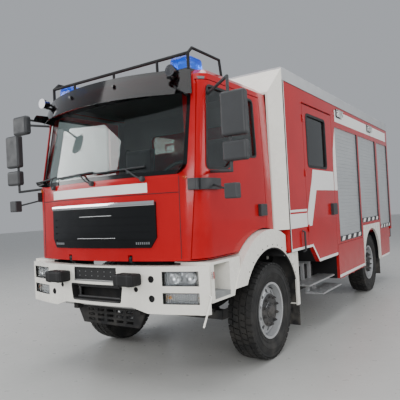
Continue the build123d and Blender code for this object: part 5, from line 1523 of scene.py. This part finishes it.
    def straps(self) -> None:
        """Make two straps round each lamp cover, and the bright sleeve of the lower bar."""
        low, top = self.cover_height
        near, far = (along(run) for run in self.cover_run)
        width, thick, gap = self.strap
        half, start, end, height = self.buckle
        line = rounded(oblong((near, low - gap), (far, top + gap)), 0.018, 4)
        bench = Bench()
        for hand in (1, -1):
            for x in self.strap_places:
                bench.frame_ring(line, thick, Axis.X, hand * x, hand * (x + width))
                middle = hand * (x + width / 2)
                bench.box((middle - half, near + start, top), (middle + half, near + end, top + height))
        bench.piece("lamp_cover_straps", "chassis", "seal_rubber", "flap_rubber", 0.0006)
        bench = Bench()
        half, y, z, radius = self.rod
        bench.tube([(-half, along(y), z), (half, along(y), z)], radius, 24)
        bench.piece("lower_bar_sleeve", "chassis", "bare_steel", "roof_aluminium", 0.001)

    def top_sheet(self) -> None:
        """Make the dark sheet that closes the bumper's hollow below the cab."""
        low, high = self.sheet_height
        limit = along(self.sheet_far)
        rings = []
        for k in range(2 * self.sheet_cuts + 1):
            x = self.sheet_half * (k / self.sheet_cuts - 1)
            near = self.bowed(x, low, self.sheet_near)[1]
            back = min(near + 0.001, limit) if abs(x) > self.sheet_bend else near
            far = max(limit, back + 0.004)
            rings.append([(x, near, low), (x, far, low), (x, far, high), (x, near, high)])
        bench = Bench()
        bench.skin(rings)
        bench.piece("bumper_top_sheet", "chassis", "seal_rubber", "flap_rubber")

    def build(self) -> None:
        """Make all the bumper's trims."""
        self.top_sheet()
        self.lamp_set()
        self.winch_mouth()
        self.plate_holder()
        self.plug_set()
        self.straps()


@dataclass
class StepAndFender(OneSide):
    """Serrated entry tread, reflectors, rivets, well liner and rubber lip at the front wheels."""

    tread: Box = ((0.852, -1.17), (1.188, -0.905))
    tread_z: float = 0.8905
    tread_base: float = 0.005
    ridges: int = 24
    ridge: Row = (0.2, 0.62, 0.015, 0.004)
    nosing: Point = (0.007, 0.03, 0.014)
    reflector: Box = ((-1.217, 1.045), (-1.177, 1.105))
    reflector_thick: float = 0.005
    red: Pair = (0.013, 0.001)
    wall: float = 1.192
    fender_out: float = 1.2
    arch_z: float = 0.5
    well: Row = (0.9, 0.405, 1.085, 0.75, 0.46)
    well_width: Pair = (0.872, 1.179)
    well_insets: Pair = (0.021, 0.024)
    rivets: int = 12
    rivet_arc: Point = (0.73, 28.0, 9.8)
    rivet: Outline = ((0.0075, 0), (0.007, 0.002), (0.0035, 0.0045))
    flaps: tuple[Row, ...] = ((0.88, 1.19, 0.732, 0.425, -1), (0.89, 1.206, 4.907, 0.505, 1))
    flap_bolts: int = 4
    flap_bolt: Pair = (0.009, 0.008)
    lip: Row = (0.696, 22.0, 145.0)
    lip_out: float = 1.191
    lip_radius: float = 0.01

    def well_line(self, inset: float) -> list[Pair]:
        """Line of the wheel well from the side.

        Args:
            inset: how far it lies inside the fender's outer face.

        Returns:
            Pairs of (distance behind the front axle, height), from the front to the foot behind.
        """
        radius, meet, under, rear, low = self.well
        r, back = radius - inset, meet - inset
        first = math.degrees(math.asin((self.tread_z - self.arch_z) / r))
        last = math.degrees(math.acos(back / r))
        over = [(-math.cos(math.radians(t)) * r, self.arch_z + math.sin(math.radians(t)) * r)
                for t in (first + (180 - last - first) * k / 30 for k in range(31))]
        return over + [(back, under - inset), (rear - inset, under - inset), (rear - inset, low)]

    def well_liner(self) -> None:
        """Make the black liner over the inside of one fender."""
        near, far = (self.well_line(inset) for inset in self.well_insets)
        x0, x1 = (self.side.value * x for x in self.well_width)
        bench = Bench()
        bench.skin([[(x0, along(a[0]), a[1]), (x1, along(a[0]), a[1]), (x1, along(b[0]), b[1]),
                     (x0, along(b[0]), b[1])] for a, b in zip(near, far)])
        bench.piece(f"wheel_well_liner_{self.side.label}", "chassis", "flap_rubber", "flap_rubber")

    def entry_tread(self) -> None:
        """Make one entry step's ridged sheet with its nosing."""
        hand = self.side.value
        (x0, y0), (x1, y1) = self.tread
        first, share, height, margin = self.ridge
        foot, head = self.tread_z + self.tread_base, self.tread_z + height
        bench = Bench()
        bench.box((hand * x0, along(y0), self.tread_z), (hand * x1, along(y1), foot))
        pitch = (x1 - x0) / self.ridges
        for k in range(self.ridges):
            x = hand * (x0 + pitch * (k + first))
            width = hand * pitch * share
            bench.prism([(x, foot), (x + width, foot), (x + width / 2, head)], Axis.Y, along(y0 + margin),
                        along(y1 - margin))
        thick, below, above = self.nosing
        bench.box((hand * x1, along(y0), self.tread_z - below),
                  (hand * (x1 + thick), along(y1), self.tread_z + above))
        bench.piece(f"entry_tread_{self.side.label}", "chassis", "worn_steel", "roof_aluminium")

    def reflectors(self) -> None:
        """Make the white reflector and the red one behind it."""
        (start, low), (end, top) = self.reflector
        width, gap = self.red
        seam = end - width
        for word, finish, near, far in (("white", "lamp_glass", start, seam - gap),
                                        ("red", "red_lens", seam, end)):
            bench = Bench()
            bench.film(oblong((near, low), (far, top)), self.side, self.wall, self.reflector_thick)
            bench.piece(f"reflector_{word}_{self.side.label}", "chassis", finish, finish, 0.001)

    def rivet_set(self) -> None:
        """Make the rivets of the fender and the bolts of both mudflaps."""
        hand = self.side.value
        bench = Bench()
        radius, first, pitch = self.rivet_arc
        for k in range(self.rivets):
            turn = math.radians(first + pitch * k)
            place = (hand * self.fender_out, along(math.cos(turn) * radius),
                     self.arch_z + math.sin(turn) * radius)
            bench.turned(self.rivet, place, (hand, 0, 0), 12)
        for x_in, x_out, y, z, way in self.flaps:
            for k in range(self.flap_bolts):
                x = hand * (x_in + (x_out - x_in) * (k + 0.5) / self.flap_bolts)
                bench.bolt((x, along(y), z), (0, way, 0), *self.flap_bolt)
        bench.piece(f"fender_rivets_{self.side.label}", "chassis", "chassis_black", "chassis_black")

    def fender_lip(self) -> None:
        """Make the rubber lip along the wheel arch."""
        radius, first, last = self.lip
        bench = Bench()
        bench.tube([(self.side.value * self.lip_out, along(y), z)
                    for y, z in arc((0, self.arch_z), radius, first, last, 40)], self.lip_radius, 8)
        bench.piece(f"fender_lip_{self.side.label}", "chassis", "seal_rubber", "flap_rubber")

    def build(self) -> None:
        """Make the trims of one side."""
        self.entry_tread()
        self.reflectors()
        self.rivet_set()
        self.well_liner()
        self.fender_lip()


@dataclass
class FeelerRod:
    """White rod that marks the bumper's left corner."""

    line: tuple[Point, ...] = ((1.186, -1.255, 0.905), (1.214, -1.262, 0.9), (1.218, -1.29, 0.862),
                               (1.218, -1.418, 0.672))
    radius: float = 0.0085

    def build(self) -> None:
        """Make the rod."""
        bench = Bench()
        bench.tube([(x, along(y), z) for x, y, z in self.line], self.radius, 10)
        bench.piece("feeler_rod", "chassis", "warm_white", "warm_white")


@dataclass
class CabTrim:
    """Window seals, mirror glasses, markers, stripe and lamp feet of the tilting cab."""

    window: Outline = ((-1.085, 2.025), (-0.7, 2.04), (-0.52, 2.18), (-0.065, 2.19),
                       (-0.065, 2.815), (-0.985, 2.815))
    seal_margins: Pair = (0.01, -0.014)
    seal_out: Point = (0.0003, 0.003, -0.0172)
    waist: float = 1.96
    header: float = 2.83
    lean: float = 0.023
    mirrors: tuple[Box, ...] = (((1.407, 2.285), (1.603, 2.615)), ((1.412, 2.072), (1.598, 2.198)))
    mirror_back: float = -1.1803
    mirror_thick: float = 0.003
    stripe: Box = ((-0.7, 1.836), (0.62, 1.926))
    stripe_cuts: int = 32
    marker_place: Pair = (0.985, 1.952)
    marker_turn: float = 0.45
    marker: Outline = ((0.021, -0.01), (0.021, 0.006), (0.016, 0.012), (0.004, 0.014))
    beacon: Box = ((0.69, -1.01), (0.925, -0.74))
    beacon_foot: Outline = ((0.004, 2.956), (0.004, 3.004), (0.001, 3.01))

    def skin_x(self, z: float) -> float:
        """Half width of the cab's side at a height."""
        return CAB_HALF - self.lean * max(0.0, z - self.waist) / (self.header - self.waist)

    def window_seal(self, side: Side) -> None:
        """Make the black seal and border round one door window.

        Args:
            side: side of the vehicle.
        """
        outline = rounded(self.window, 0.055, 5)
        outer, inner = (grown(outline, margin) for margin in self.seal_margins)
        foot, face, deep = self.seal_out
        sheets = [[(side.value * (self.skin_x(z) + out), along(y), z) for y, z in line]
                  for line, out in ((outer, foot), (outer, face), (inner, face), (inner, deep))]
        bench = Bench()
        bench.skin(sheets, around=True)
        tag = side.label
        bench.piece(f"door_window_seal_{tag}", f"cab_door_{tag}", "seal_rubber", "dark_plastic")

    def mirror_glass(self, side: Side) -> None:
        """Make the silvered panes on the rear faces of the two mirror heads.

        Args:
            side: side of the vehicle.
        """
        bench = Bench()
        back = along(self.mirror_back)
        for (x0, z0), (x1, z1) in self.mirrors:
            pane = rounded(oblong((side.value * x0, z0), (side.value * x1, z1)), 0.024, 4)
            bench.prism(pane, Axis.Y, back, back + self.mirror_thick)
        tag = side.label
        bench.piece(f"mirror_panes_{tag}", f"cab_door_{tag}", "mirror_glass", "horn_chrome", 0.0005)

    def front_stripe(self, shell: Surface) -> None:
        """Make the plain white stripe across the front panel.

        Args:
            shell: skin of the cab.
        """
        (x0, low), (x1, top) = self.stripe
        rings = []
        for k in range(self.stripe_cuts + 1):
            x = x0 + (x1 - x0) * k / self.stripe_cuts
            foot, head = (shell.from_front(x, z).y for z in (low, top))
            rings.append([(x, foot - FILM, low), (x, head - FILM, top), (x, head + FILM, top),
                          (x, foot + FILM, low)])
        bench = Bench()
        bench.skin(rings)
        bench.piece("front_stripe", "cab", "stripe_white", "warm_white")

    def markers(self, shell: Surface) -> None:
        """Make an amber marker at each front corner and the dark feet of the roof lamps.

        Args:
            shell: skin of the cab.
        """
        bench = Bench()
        x, z = self.marker_place
        for hand in (1, -1):
            bench.turned(self.marker, shell.from_front(hand * x, z), (hand * self.marker_turn, -1, 0), 20)
        bench.piece("amber_markers", "cab", "amber_lens", "lamp_glass")
        bench = Bench()
        (x0, y0), (x1, y1) = self.beacon
        for hand in (1, -1):
            foot = rounded(oblong((hand * x0, along(y0)), (hand * x1, along(y1))), 0.05, 5)
            bench.skin([[(x, y, z) for x, y in grown(foot, margin)] for margin, z in self.beacon_foot])
        bench.piece("beacon_feet", "cab", "dark_plastic", "dark_plastic", 0.001)

    def build(self) -> None:
        """Make the cab's trims."""
        shell = Surface("cab_shell")
        self.front_stripe(shell)
        self.markers(shell)
        for side in Side:
            self.window_seal(side)
            self.mirror_glass(side)


@dataclass
class CrewTrim(OneSide):
    """Window frame, drip rail, handle cover, grab bar, seams and a painted shadow line of the crew cabin's
    sides.
    """

    wall: float = BODY_HALF
    seat: float = BODY_HALF + 0.0003
    window: Box = ((1.134, 2.13), (1.88, 2.82))
    frame_margins: Pair = (0.01, -0.024)
    frame_out: Pair = (0.004, -0.0172)
    handle: Box = ((1.9585, 1.4785), (2.1415, 1.6415))
    handle_out: float = 1.2932
    drip: Point = (1.012, 2.16, 2.942)
    grab: Point = (0.82, 1.07, 1.325)
    grab_bend: Pair = (0.03, 0.012)
    grab_radius: float = 0.012
    front: float = 0.427
    end: float = 5.94
    foot: float = 1.102
    roof: float = 3.118
    # width of the dark seal on the front edge, and height of the black strip along the roof line that is
    # painted shadow under the roof trim
    seal: Pair = (0.022, 0.007)
    seal_and_shadow_thick: float = 0.0025
    edge: Pair = (0.023, 0.035)
    edge_thick: float = 0.004

    def window_frame(self) -> None:
        """Make the rubber frame of one door window."""
        outline = rounded(oblong(*self.window), 0.065, 5)
        outer, inner = (grown(outline, margin) for margin in self.frame_margins)
        face, deep = (self.wall + out for out in self.frame_out)
        bench = Bench()
        bench.skin([[(self.side.value * x, along(y), z) for y, z in line] for line, x in
                    ((outer, self.seat), (outer, face), (inner, face), (inner, deep))], around=True)
        tag = self.side.label
        bench.piece(f"crew_window_frame_{tag}", f"crew_door_{tag}", "seal_rubber", "dark_plastic")

    def fittings(self) -> None:
        """Make the handle's cover, the drip rail and the grab bar."""
        hand, tag = self.side.value, self.side.label
        bench = Bench()
        grip = [(along(y), z) for y, z in rounded(oblong(*self.handle), 0.012, 3)]
        bench.prism(grip, Axis.X, hand * self.seat, hand * self.handle_out)
        bench.piece(f"crew_handle_cover_{tag}", f"crew_door_{tag}", "dark_plastic", "dark_plastic", 0.004)

        y0, y1, z = self.drip
        section = ((self.seat, z), (self.wall + 0.02, z - 0.003), (self.wall + 0.022, z + 0.006),
                   (self.seat, z + 0.014))
        bench = Bench()
        bench.prism([(hand * x, height) for x, height in section], Axis.Y, along(y0), along(y1))
        bench.piece(f"drip_rail_{tag}", "chassis", "fire_red", "fire_red", 0.001)

        y, low, top = self.grab
        out, bend = self.grab_bend
        reach = self.wall + out
        line = ((self.wall, low), (reach, low + bend), (reach, top - bend), (self.wall, top))
        bench = Bench()
        bench.tube([(hand * x, along(y), z) for x, z in line], self.grab_radius, 12)
        bench.piece(f"grab_bar_{tag}", "chassis", "dark_plastic", "dark_plastic")

    def seams(self) -> None:
        """Make the dark seal line of the body's front, a black strip along the roof line that is painted
        shadow under the roof trim, and the white edge of the body's front.
        """
        tag = self.side.label
        bench = Bench()
        wide, shadow_line_height = self.seal
        # first strip: dark seal of the front edge; second strip, along the roof line: painted shadow under
        # the roof trim, in the seal's black
        for low, high in (((self.front, self.foot), (self.front + wide, self.roof)),
                          ((self.front, self.roof - shadow_line_height), (self.end, self.roof))):
            bench.film(oblong(low, high), self.side, self.wall, self.seal_and_shadow_thick)
        bench.piece(f"body_seal_lines_{tag}", "chassis", "seal_rubber", "dark_plastic")
        bench = Bench()
        near, far = (self.front + width for width in self.edge)
        bench.film(oblong((near, self.foot), (far, self.roof)), self.side, self.wall, self.edge_thick)
        bench.piece(f"body_edge_trim_{tag}", "chassis", "stripe_white", "warm_white", 0.001)

    def build(self) -> None:
        """Make the trims of one side."""
        self.window_frame()
        self.fittings()
        self.seams()


@dataclass
class RoofTrim:
    """Tread sheets laid in bays on the roof deck, with rivets along their edges."""

    bays: int = 5
    middle: float = 3.5
    above: float = 4.0
    margin: float = 0.035
    seam: float = 0.014
    gap: float = 0.0003
    thick: float = 0.003
    feel: float = 0.04
    rivets: int = 14
    rivet_inset: Pair = (0.03, 0.025)
    rivet: Outline = ((0.008, 0), (0.007, 0.0025), (0.003, 0.004))

    def build(self) -> None:
        """Make the sheets and their rivets, between the edges that are felt on the deck."""
        deck = Surface("roof_deck")
        middle = along(self.middle)
        floor = deck.hit((0, middle, self.above), (0, 0, -1)).z
        level = floor + self.feel
        half = deck.hit((0, middle, level), (1, 0, 0)).x - self.margin
        front = deck.hit((0, middle, level), (0, -1, 0)).y + self.margin
        rear = deck.hit((0, middle, level), (0, 1, 0)).y - self.margin
        pitch = (rear - front) / self.bays
        side_in, end_in = self.rivet_inset
        top = floor + self.thick
        sheets, studs = Bench(), Bench()
        for bay in range(self.bays):
            near, far = front + pitch * bay + self.seam / 2, front + pitch * (bay + 1) - self.seam / 2
            sheets.box((-half, near, floor + self.gap), (half, far, top))
            for k in range(self.rivets):
                x = -half + side_in + 2 * (half - side_in) * k / (self.rivets - 1)
                for y in (near + end_in, far - end_in):
                    studs.turned(self.rivet, (x, y, top), (0, 0, 1), 8)
        sheets.piece("roof_tread_sheets", "chassis", "tread_plate", "roof_aluminium", 0.0005)
        studs.piece("roof_rivets", "chassis", "worn_steel", "roof_aluminium")


@dataclass
class DoorCards(OneSide):
    """Moulded trim, arm rest, pocket and pull on the inside of each door."""

    card: float = 0.009
    gap: float = 0.0003
    feel_from: float = 0.9
    cab_edge: Pair = (-1.12, 0.035)
    cab_height: Pair = (1.3, 1.9)
    cab_slope: float = 0.06
    arch: Point = (0.5, 0.984, 127.0)
    crew: Outline = ((1.08, 1.17), (1.212, 1.17), (1.42, 0.95), (2.12, 0.95), (2.12, 2.06),
                     (1.08, 2.06))
    rest: Outline = ((-0.8, 1.64), (-0.13, 1.64), (-0.13, 1.7), (-0.6, 1.73), (-0.8, 1.7))
    rest_deep: float = 0.052
    speaker: Outline = ((0.078, 0), (0.078, 0.004), (0.07, 0.007), (0.004, 0.009))
    speaker_place: Pair = (-0.36, 1.555)
    cab_pocket: Outline = ((-1.06, 1.35), (-0.68, 1.35), (-0.66, 1.48), (-1.08, 1.48))
    crew_pocket: Outline = ((1.56, 1.02), (2.06, 1.02), (2.08, 1.18), (1.54, 1.18))
    pocket_deep: float = 0.036
    cab_pull: Point = (-0.905, 1.6, 1.86)
    crew_pull: Point = (2.04, 1.56, 2.02)
    pull_bend: Pair = (0.04, 0.012)
    pull_radius: float = 0.0085
    cab_latch: Box = ((-0.76, 1.79), (-0.64, 1.812))
    crew_latch: Box = ((1.84, 1.48), (1.96, 1.502))
    latch_deep: float = 0.014

    def cab_outline(self) -> list[Pair]:
        """Outline of the cab door's card, cut out over the wheel.

        Returns:
            Pairs of (distance behind the front axle, height).
        """
        (front, rear), (low, top) = self.cab_edge, self.cab_height
        centre, radius, first = self.arch
        last = math.degrees(math.acos(rear / radius))
        over = arc((0, centre), radius, first, last, 12)
        return [(front, low)] + over + [(rear, top), (front + self.cab_slope, top)]

    def block(self, bench: Bench, outline: Sequence[Pair], start: float, deep: float) -> None:
        """Add a flat block that stands on the door or its card."""
        bench.prism([(along(y), z) for y, z in outline], Axis.X, start, start + deep)

    def furnish(self, door: Door) -> None:
        """Make the card of one door with its parts.

        Args:
            door: kind of the door.
        """
        if door is Door.CAB:
            outline, pocket = self.cab_outline(), self.cab_pocket
            (y, low, top), latch = self.cab_pull, self.cab_latch
        else:
            outline, pocket = rounded(self.crew, 0.05, 4), self.crew_pocket
            (y, low, top), latch = self.crew_pull, self.crew_latch
        hand, kind, tag = self.side.value, door.value, self.side.label
        body = f"{kind}_door_{tag}"
        start = (hand * self.feel_from, along(pocket[0][0]), pocket[0][1])
        wall = Surface(body).hit(start, (hand, 0, 0)).x - hand * self.gap
        face = wall - hand * self.card

        bench = Bench()
        self.block(bench, outline, wall, -hand * self.card)
        bench.piece(f"{kind}_door_card_{tag}", body, "door_trim", "dark_plastic", 0.003)

        bench = Bench()
        self.block(bench, rounded(pocket, 0.03, 4), face, -hand * self.pocket_deep)
        if door is Door.CAB:
            self.block(bench, rounded(self.rest, 0.022, 4), face, -hand * self.rest_deep)
            place = (face, along(self.speaker_place[0]), self.speaker_place[1])
            bench.turned(self.speaker, place, (-hand, 0, 0), 36)
        bench.piece(f"{kind}_door_rest_{tag}", body, "dark_plastic", "dark_plastic", 0.006)

        bench = Bench()
        out, bend = self.pull_bend
        reach = face - hand * out
        line = ((face, low), (reach, low + bend), (reach, top - bend), (face, top))
        bench.tube([(x, along(y), z) for x, z in line], self.pull_radius, 10)
        inner, outer = sorted((face, face - hand * self.latch_deep))
        (y0, z0), (y1, z1) = latch
        bench.box((inner, along(y0), z0), (outer, along(y1), z1))
        bench.piece(f"{kind}_door_pull_{tag}", body, "cast_metal", "cast_metal", 0.001)

    def build(self) -> None:
        """Make the cards of one side's two doors."""
        for door in Door:
            self.furnish(door)


@dataclass
class BodyTrim:
    """Scene lights, and the segments and frames of the rear lamps."""

    scene_lights: Outline = ((2.56, 3.01), (4.4, 2.99))
    light_half: Pair = (0.13, 0.055)
    frame_width: float = 0.01
    frame_out: Pair = (0.0005, 0.016)
    panel_inset: float = 0.012
    panel_out: Pair = (0.004, 0.01)
    rear: float = 5.95
    lamp: Box = ((0.9, 0.86), (1.21, 1.03))
    lamp_inset: float = 0.012
    amber: Pair = (1.12, 1.202)
    clear: Pair = (0.908, 0.97)
    segment_run: Pair = (-0.0005, 0.006)
    rim_gap: float = 0.001
    rim_width: float = 0.012
    rim_run: Pair = (0.0005, 0.01)

    def scene_light_set(self) -> None:
        """Make the frames and panels of the scene lights on both sides."""
        frames, panels = Bench(), Bench()
        dy, dz = self.light_half
        for side in Side:
            frame_from, frame_to, panel_from, panel_to = (
                side.value * (BODY_HALF + out) for out in (*self.frame_out, *self.panel_out))
            for y, z in self.scene_lights:
                line = rounded(oblong((along(y - dy), z - dz), (along(y + dy), z + dz)), 0.016, 4)
                frames.frame_ring(line, self.frame_width, Axis.X, frame_from, frame_to)
                panels.prism(grown(line, -self.panel_inset), Axis.X, panel_from, panel_to)
        frames.piece("scene_light_frames", "chassis", "dark_plastic", "dark_plastic", 0.001)
        panels.piece("scene_light_panels", "chassis", "bulb_white", "lamp_glass")

    def rear_lamps(self) -> None:
        """Make the segments and the frames of the rear lamps."""
        (x0, low), (x1, top) = self.lamp
        back, inset, gap = along(self.rear), self.lamp_inset, self.rim_gap
        for word, finish, (near, far) in (("amber", "amber_lens", self.amber),
                                          ("clear", "lamp_glass", self.clear)):
            bench = Bench()
            for hand in (1, -1):
                segment = oblong((hand * near, low + inset), (hand * far, top - inset))
                bench.prism(rounded(segment, 0.01, 3), Axis.Y, *(back + run for run in self.segment_run))
            bench.piece(f"rear_lamp_{word}", "chassis", finish, "lamp_glass", 0.001)
        bench = Bench()
        for hand in (1, -1):
            rim = rounded(oblong((hand * (x0 - gap), low - gap), (hand * (x1 + gap), top + gap)), 0.012, 3)
            bench.frame_ring(rim, self.rim_width, Axis.Y, *(back + run for run in self.rim_run))
        bench.piece("rear_lamp_frames", "chassis", "dark_plastic", "dark_plastic", 0.001)

    def build(self) -> None:
        """Make the trims of both sides and the back."""
        self.scene_light_set()
        self.rear_lamps()


@dataclass
class Pad:
    """One cushion or back, puffed up by a short cloth simulation and copied to every seat."""

    name: str
    half: float
    section: Outline
    inset: float = 0.012
    corner: float = 0.03
    voxel: float = 0.014
    rise: float = 0.022
    frames: int = 20
    pressure: float = 4.0

    def blank(self) -> bpy.types.Object:
        """Rounded block, a little smaller than the solid that it stands for.

        Returns:
            The block as an object.
        """
        bench = Bench()
        half = self.half - self.inset
        bench.prism(rounded(grown(self.section, -self.inset), self.corner, 4), Axis.X, -half, half)
        made = bpy.data.objects.new(self.name, bench.shape(self.name))
        bpy.context.scene.collection.objects.link(made)
        return made

    def settled(self, made: bpy.types.Object) -> bpy.types.Mesh:
        """Mesh of an object with its modifiers worked in."""
        graph = bpy.context.evaluated_depsgraph_get()
        return bpy.data.meshes.new_from_object(made.evaluated_get(graph))

    def inflated(self, made: bpy.types.Object) -> bpy.types.Mesh:
        """Mesh of an object blown up by the cloth simulation, no point further than the rise.

        Args:
            made: object with even cells.

        Returns:
            The mesh.
        """
        start = [v.co.copy() for v in made.data.vertices]
        cloth = made.modifiers.new("puff", "CLOTH")
        cloth.settings.use_pressure = True
        cloth.settings.uniform_pressure_force = self.pressure
        cloth.settings.effector_weights.gravity = 0.0
        cloth.point_cache.frame_start = 1
        cloth.point_cache.frame_end = self.frames
        for number in range(1, self.frames + 1):
            bpy.context.scene.frame_set(number)
        result = self.settled(made)
        made.modifiers.clear()
        for vertex, place in zip(result.vertices, start):
            shift = vertex.co - place
            if shift.length > self.rise:
                vertex.co = place + shift.normalized() * self.rise
        bpy.context.scene.frame_set(1)
        return result

    def puffed(self) -> bpy.types.Mesh:
        """Mesh of the pad after its remesh and simulation.

        Returns:
            The mesh, with the seat's middle at the origin.
        """
        made = self.blank()
        remesh = made.modifiers.new("even_cells", "REMESH")
        remesh.mode = "VOXEL"
        remesh.voxel_size = self.voxel
        even = self.settled(made)
        made.modifiers.clear()
        made.data = even
        made.data = self.inflated(made)
        smooth = made.modifiers.new("finer", "SUBSURF")
        smooth.levels = smooth.render_levels = 1
        mesh = self.settled(made)
        bpy.data.objects.remove(made)
        return mesh


@dataclass
class Seats:
    """Padded cushions and backs with piping, and the plinths below them."""

    cushion: Outline = ((-0.25, 0.0003), (0.23, 0.0003), (0.23, 0.12), (-0.25, 0.12))
    back: Outline = ((0.12, 0.1203), (0.24, 0.1203), (0.31, 0.8), (0.21, 0.8))
    half: float = 0.24
    cab_places: Row = (0.56, -0.56)
    cab_seat: Pair = (-0.29, 1.68)
    crew_places: Row = (-0.84, -0.28, 0.28, 0.84)
    crew_seat: Pair = (1.79, 1.45)
    piping: float = 0.0045
    piping_inset: float = 0.01
    piping_corner: float = 0.035
    piping_x: float = 0.21
    arch: Pair = (0.5, 0.972)
    arch_turn: Pair = (121, 94)
    plinth_half: float = 0.2
    plinth_run: Pair = (-0.21, 0.23)
    bench_half: float = 1.12
    bench_foot: float = 1.1553
    bench_run: Pair = (-0.13, 0.2)
    kick_half: float = 0.23
    kick_run: Pair = (-0.136, -0.129)
    kick_height: Pair = (1.2, 1.4)

    def place(self, mesh: bpy.types.Mesh, name: str, body: str, node: str, offset: Point) -> None:
        """Set one copy of a pad on its seat.

        Args:
            mesh: puffed mesh.
            name: name of the piece.
            body: CAD body that it rides on.
            node: CAD node that it stands for.
            offset: where the seat's middle lies.
        """
        data = mesh.copy()
        data.name = name
        data.transform(Matrix.Translation(offset))
        data.materials.clear()
        data.materials.append(paint("seat_cloth"))
        data.shade_smooth()
        pad = bpy.data.objects.new(name, data)
        mount(pad, body)
        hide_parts(node)

    def pipe(self, bench: Bench, section: Sequence[Pair], offset: Point) -> None:
        """Add the piping round both flanks of one pad.

        Args:
            bench: mesh that it goes into.
            section: section of the pad.
            offset: where the seat's middle lies.
        """
        line = rounded(grown(section, -self.piping_inset), self.piping_corner, 4)
        for hand in (1, -1):
            x = hand * self.piping_x
            bench.tube([Vector((x, y, z)) + Vector(offset) for y, z in line], self.piping, 6, around=True)

    def row(self, group: str, body: str, node: str, places: Sequence[float], seat: Pair,
            meshes: dict[str, bpy.types.Mesh]) -> None:
        """Fill one row of seats.

        Args:
            group: word for the row in the names.
            body: CAD body of the row.
            node: CAD node that the row stands for.
            places: middles of the seats across the vehicle.
            seat: (distance behind the front axle, height) of the cushions' feet.
            meshes: puffed meshes of the cushion and the back.
        """
        y, z = along(seat[0]), seat[1]
        bench = Bench()
        for number, x in enumerate(places):
            for word, section in (("cushion", self.cushion), ("back", self.back)):
                self.place(meshes[word], f"{group}_{word}_{number}", body, node, (x, y, z))
                self.pipe(bench, section, (x, y, z))
        trim = bench.piece(f"{group}_piping", body, "seal_rubber", "seat_cloth")
        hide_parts(node)

    def plinths(self) -> None:
        """Make the boxes below the seats, with rounded edges and kick plates."""
        bench = Bench()
        y, z = self.cab_seat
        start, end = (along(y + run) for run in self.plinth_run)
        floor = arc((0.0, self.arch[0]), self.arch[1], *self.arch_turn, 8)
        side = [(along(run), height) for run, height in floor] + [(end, z), (start, z)]
        for x in self.cab_places:
            bench.prism(side, Axis.X, x - self.plinth_half, x + self.plinth_half)
        made = bench.piece("cab_seat_plinths", "cab", "dark_plastic", "dark_plastic", 0.006)
        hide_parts("cab_seats")
        bench = Bench()
        y, z = self.crew_seat
        start, end = (along(y + run) for run in self.bench_run)
        bench.box((-self.bench_half, start, self.bench_foot), (self.bench_half, end, z))
        start, end = (along(y + run) for run in self.kick_run)
        low, top = self.kick_height
        for x in self.crew_places:
            bench.box((x - self.kick_half, start, low), (x + self.kick_half, end, top))
        made = bench.piece("crew_bench_box", "chassis", "dark_plastic", "dark_plastic", 0.006)
        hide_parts("crew_seats")

    def build(self) -> None:
        """Puff the two pads once and fill both rows."""
        sections = {"cushion": self.cushion, "back": self.back}
        meshes = {word: Pad(f"pad_{word}", self.half, section).puffed() for word, section in sections.items()}
        self.row("cab_seat", "cab", "cab_seats", self.cab_places, self.cab_seat, meshes)
        self.row("crew_seat", "chassis", "crew_seats", self.crew_places, self.crew_seat, meshes)
        self.plinths()


def main() -> None:
    """Build every sub-assembly in order."""
    logging.basicConfig(level=logging.INFO, format="%(message)s")
    dress_frame()
    Studio().build()
    build_wheels()
    for assembly in (Livery, ShutterTrim, CabFront, CabTrim, BumperFront, StepAndFender, FeelerRod,
                     CrewTrim, DoorCards, RoofTrim, BodyTrim, Seats):
        copies = map(assembly, Side) if issubclass(assembly, OneSide) else [assembly()]
        for made in copies:
            made.build()


if __name__ == "__main__":
    main()
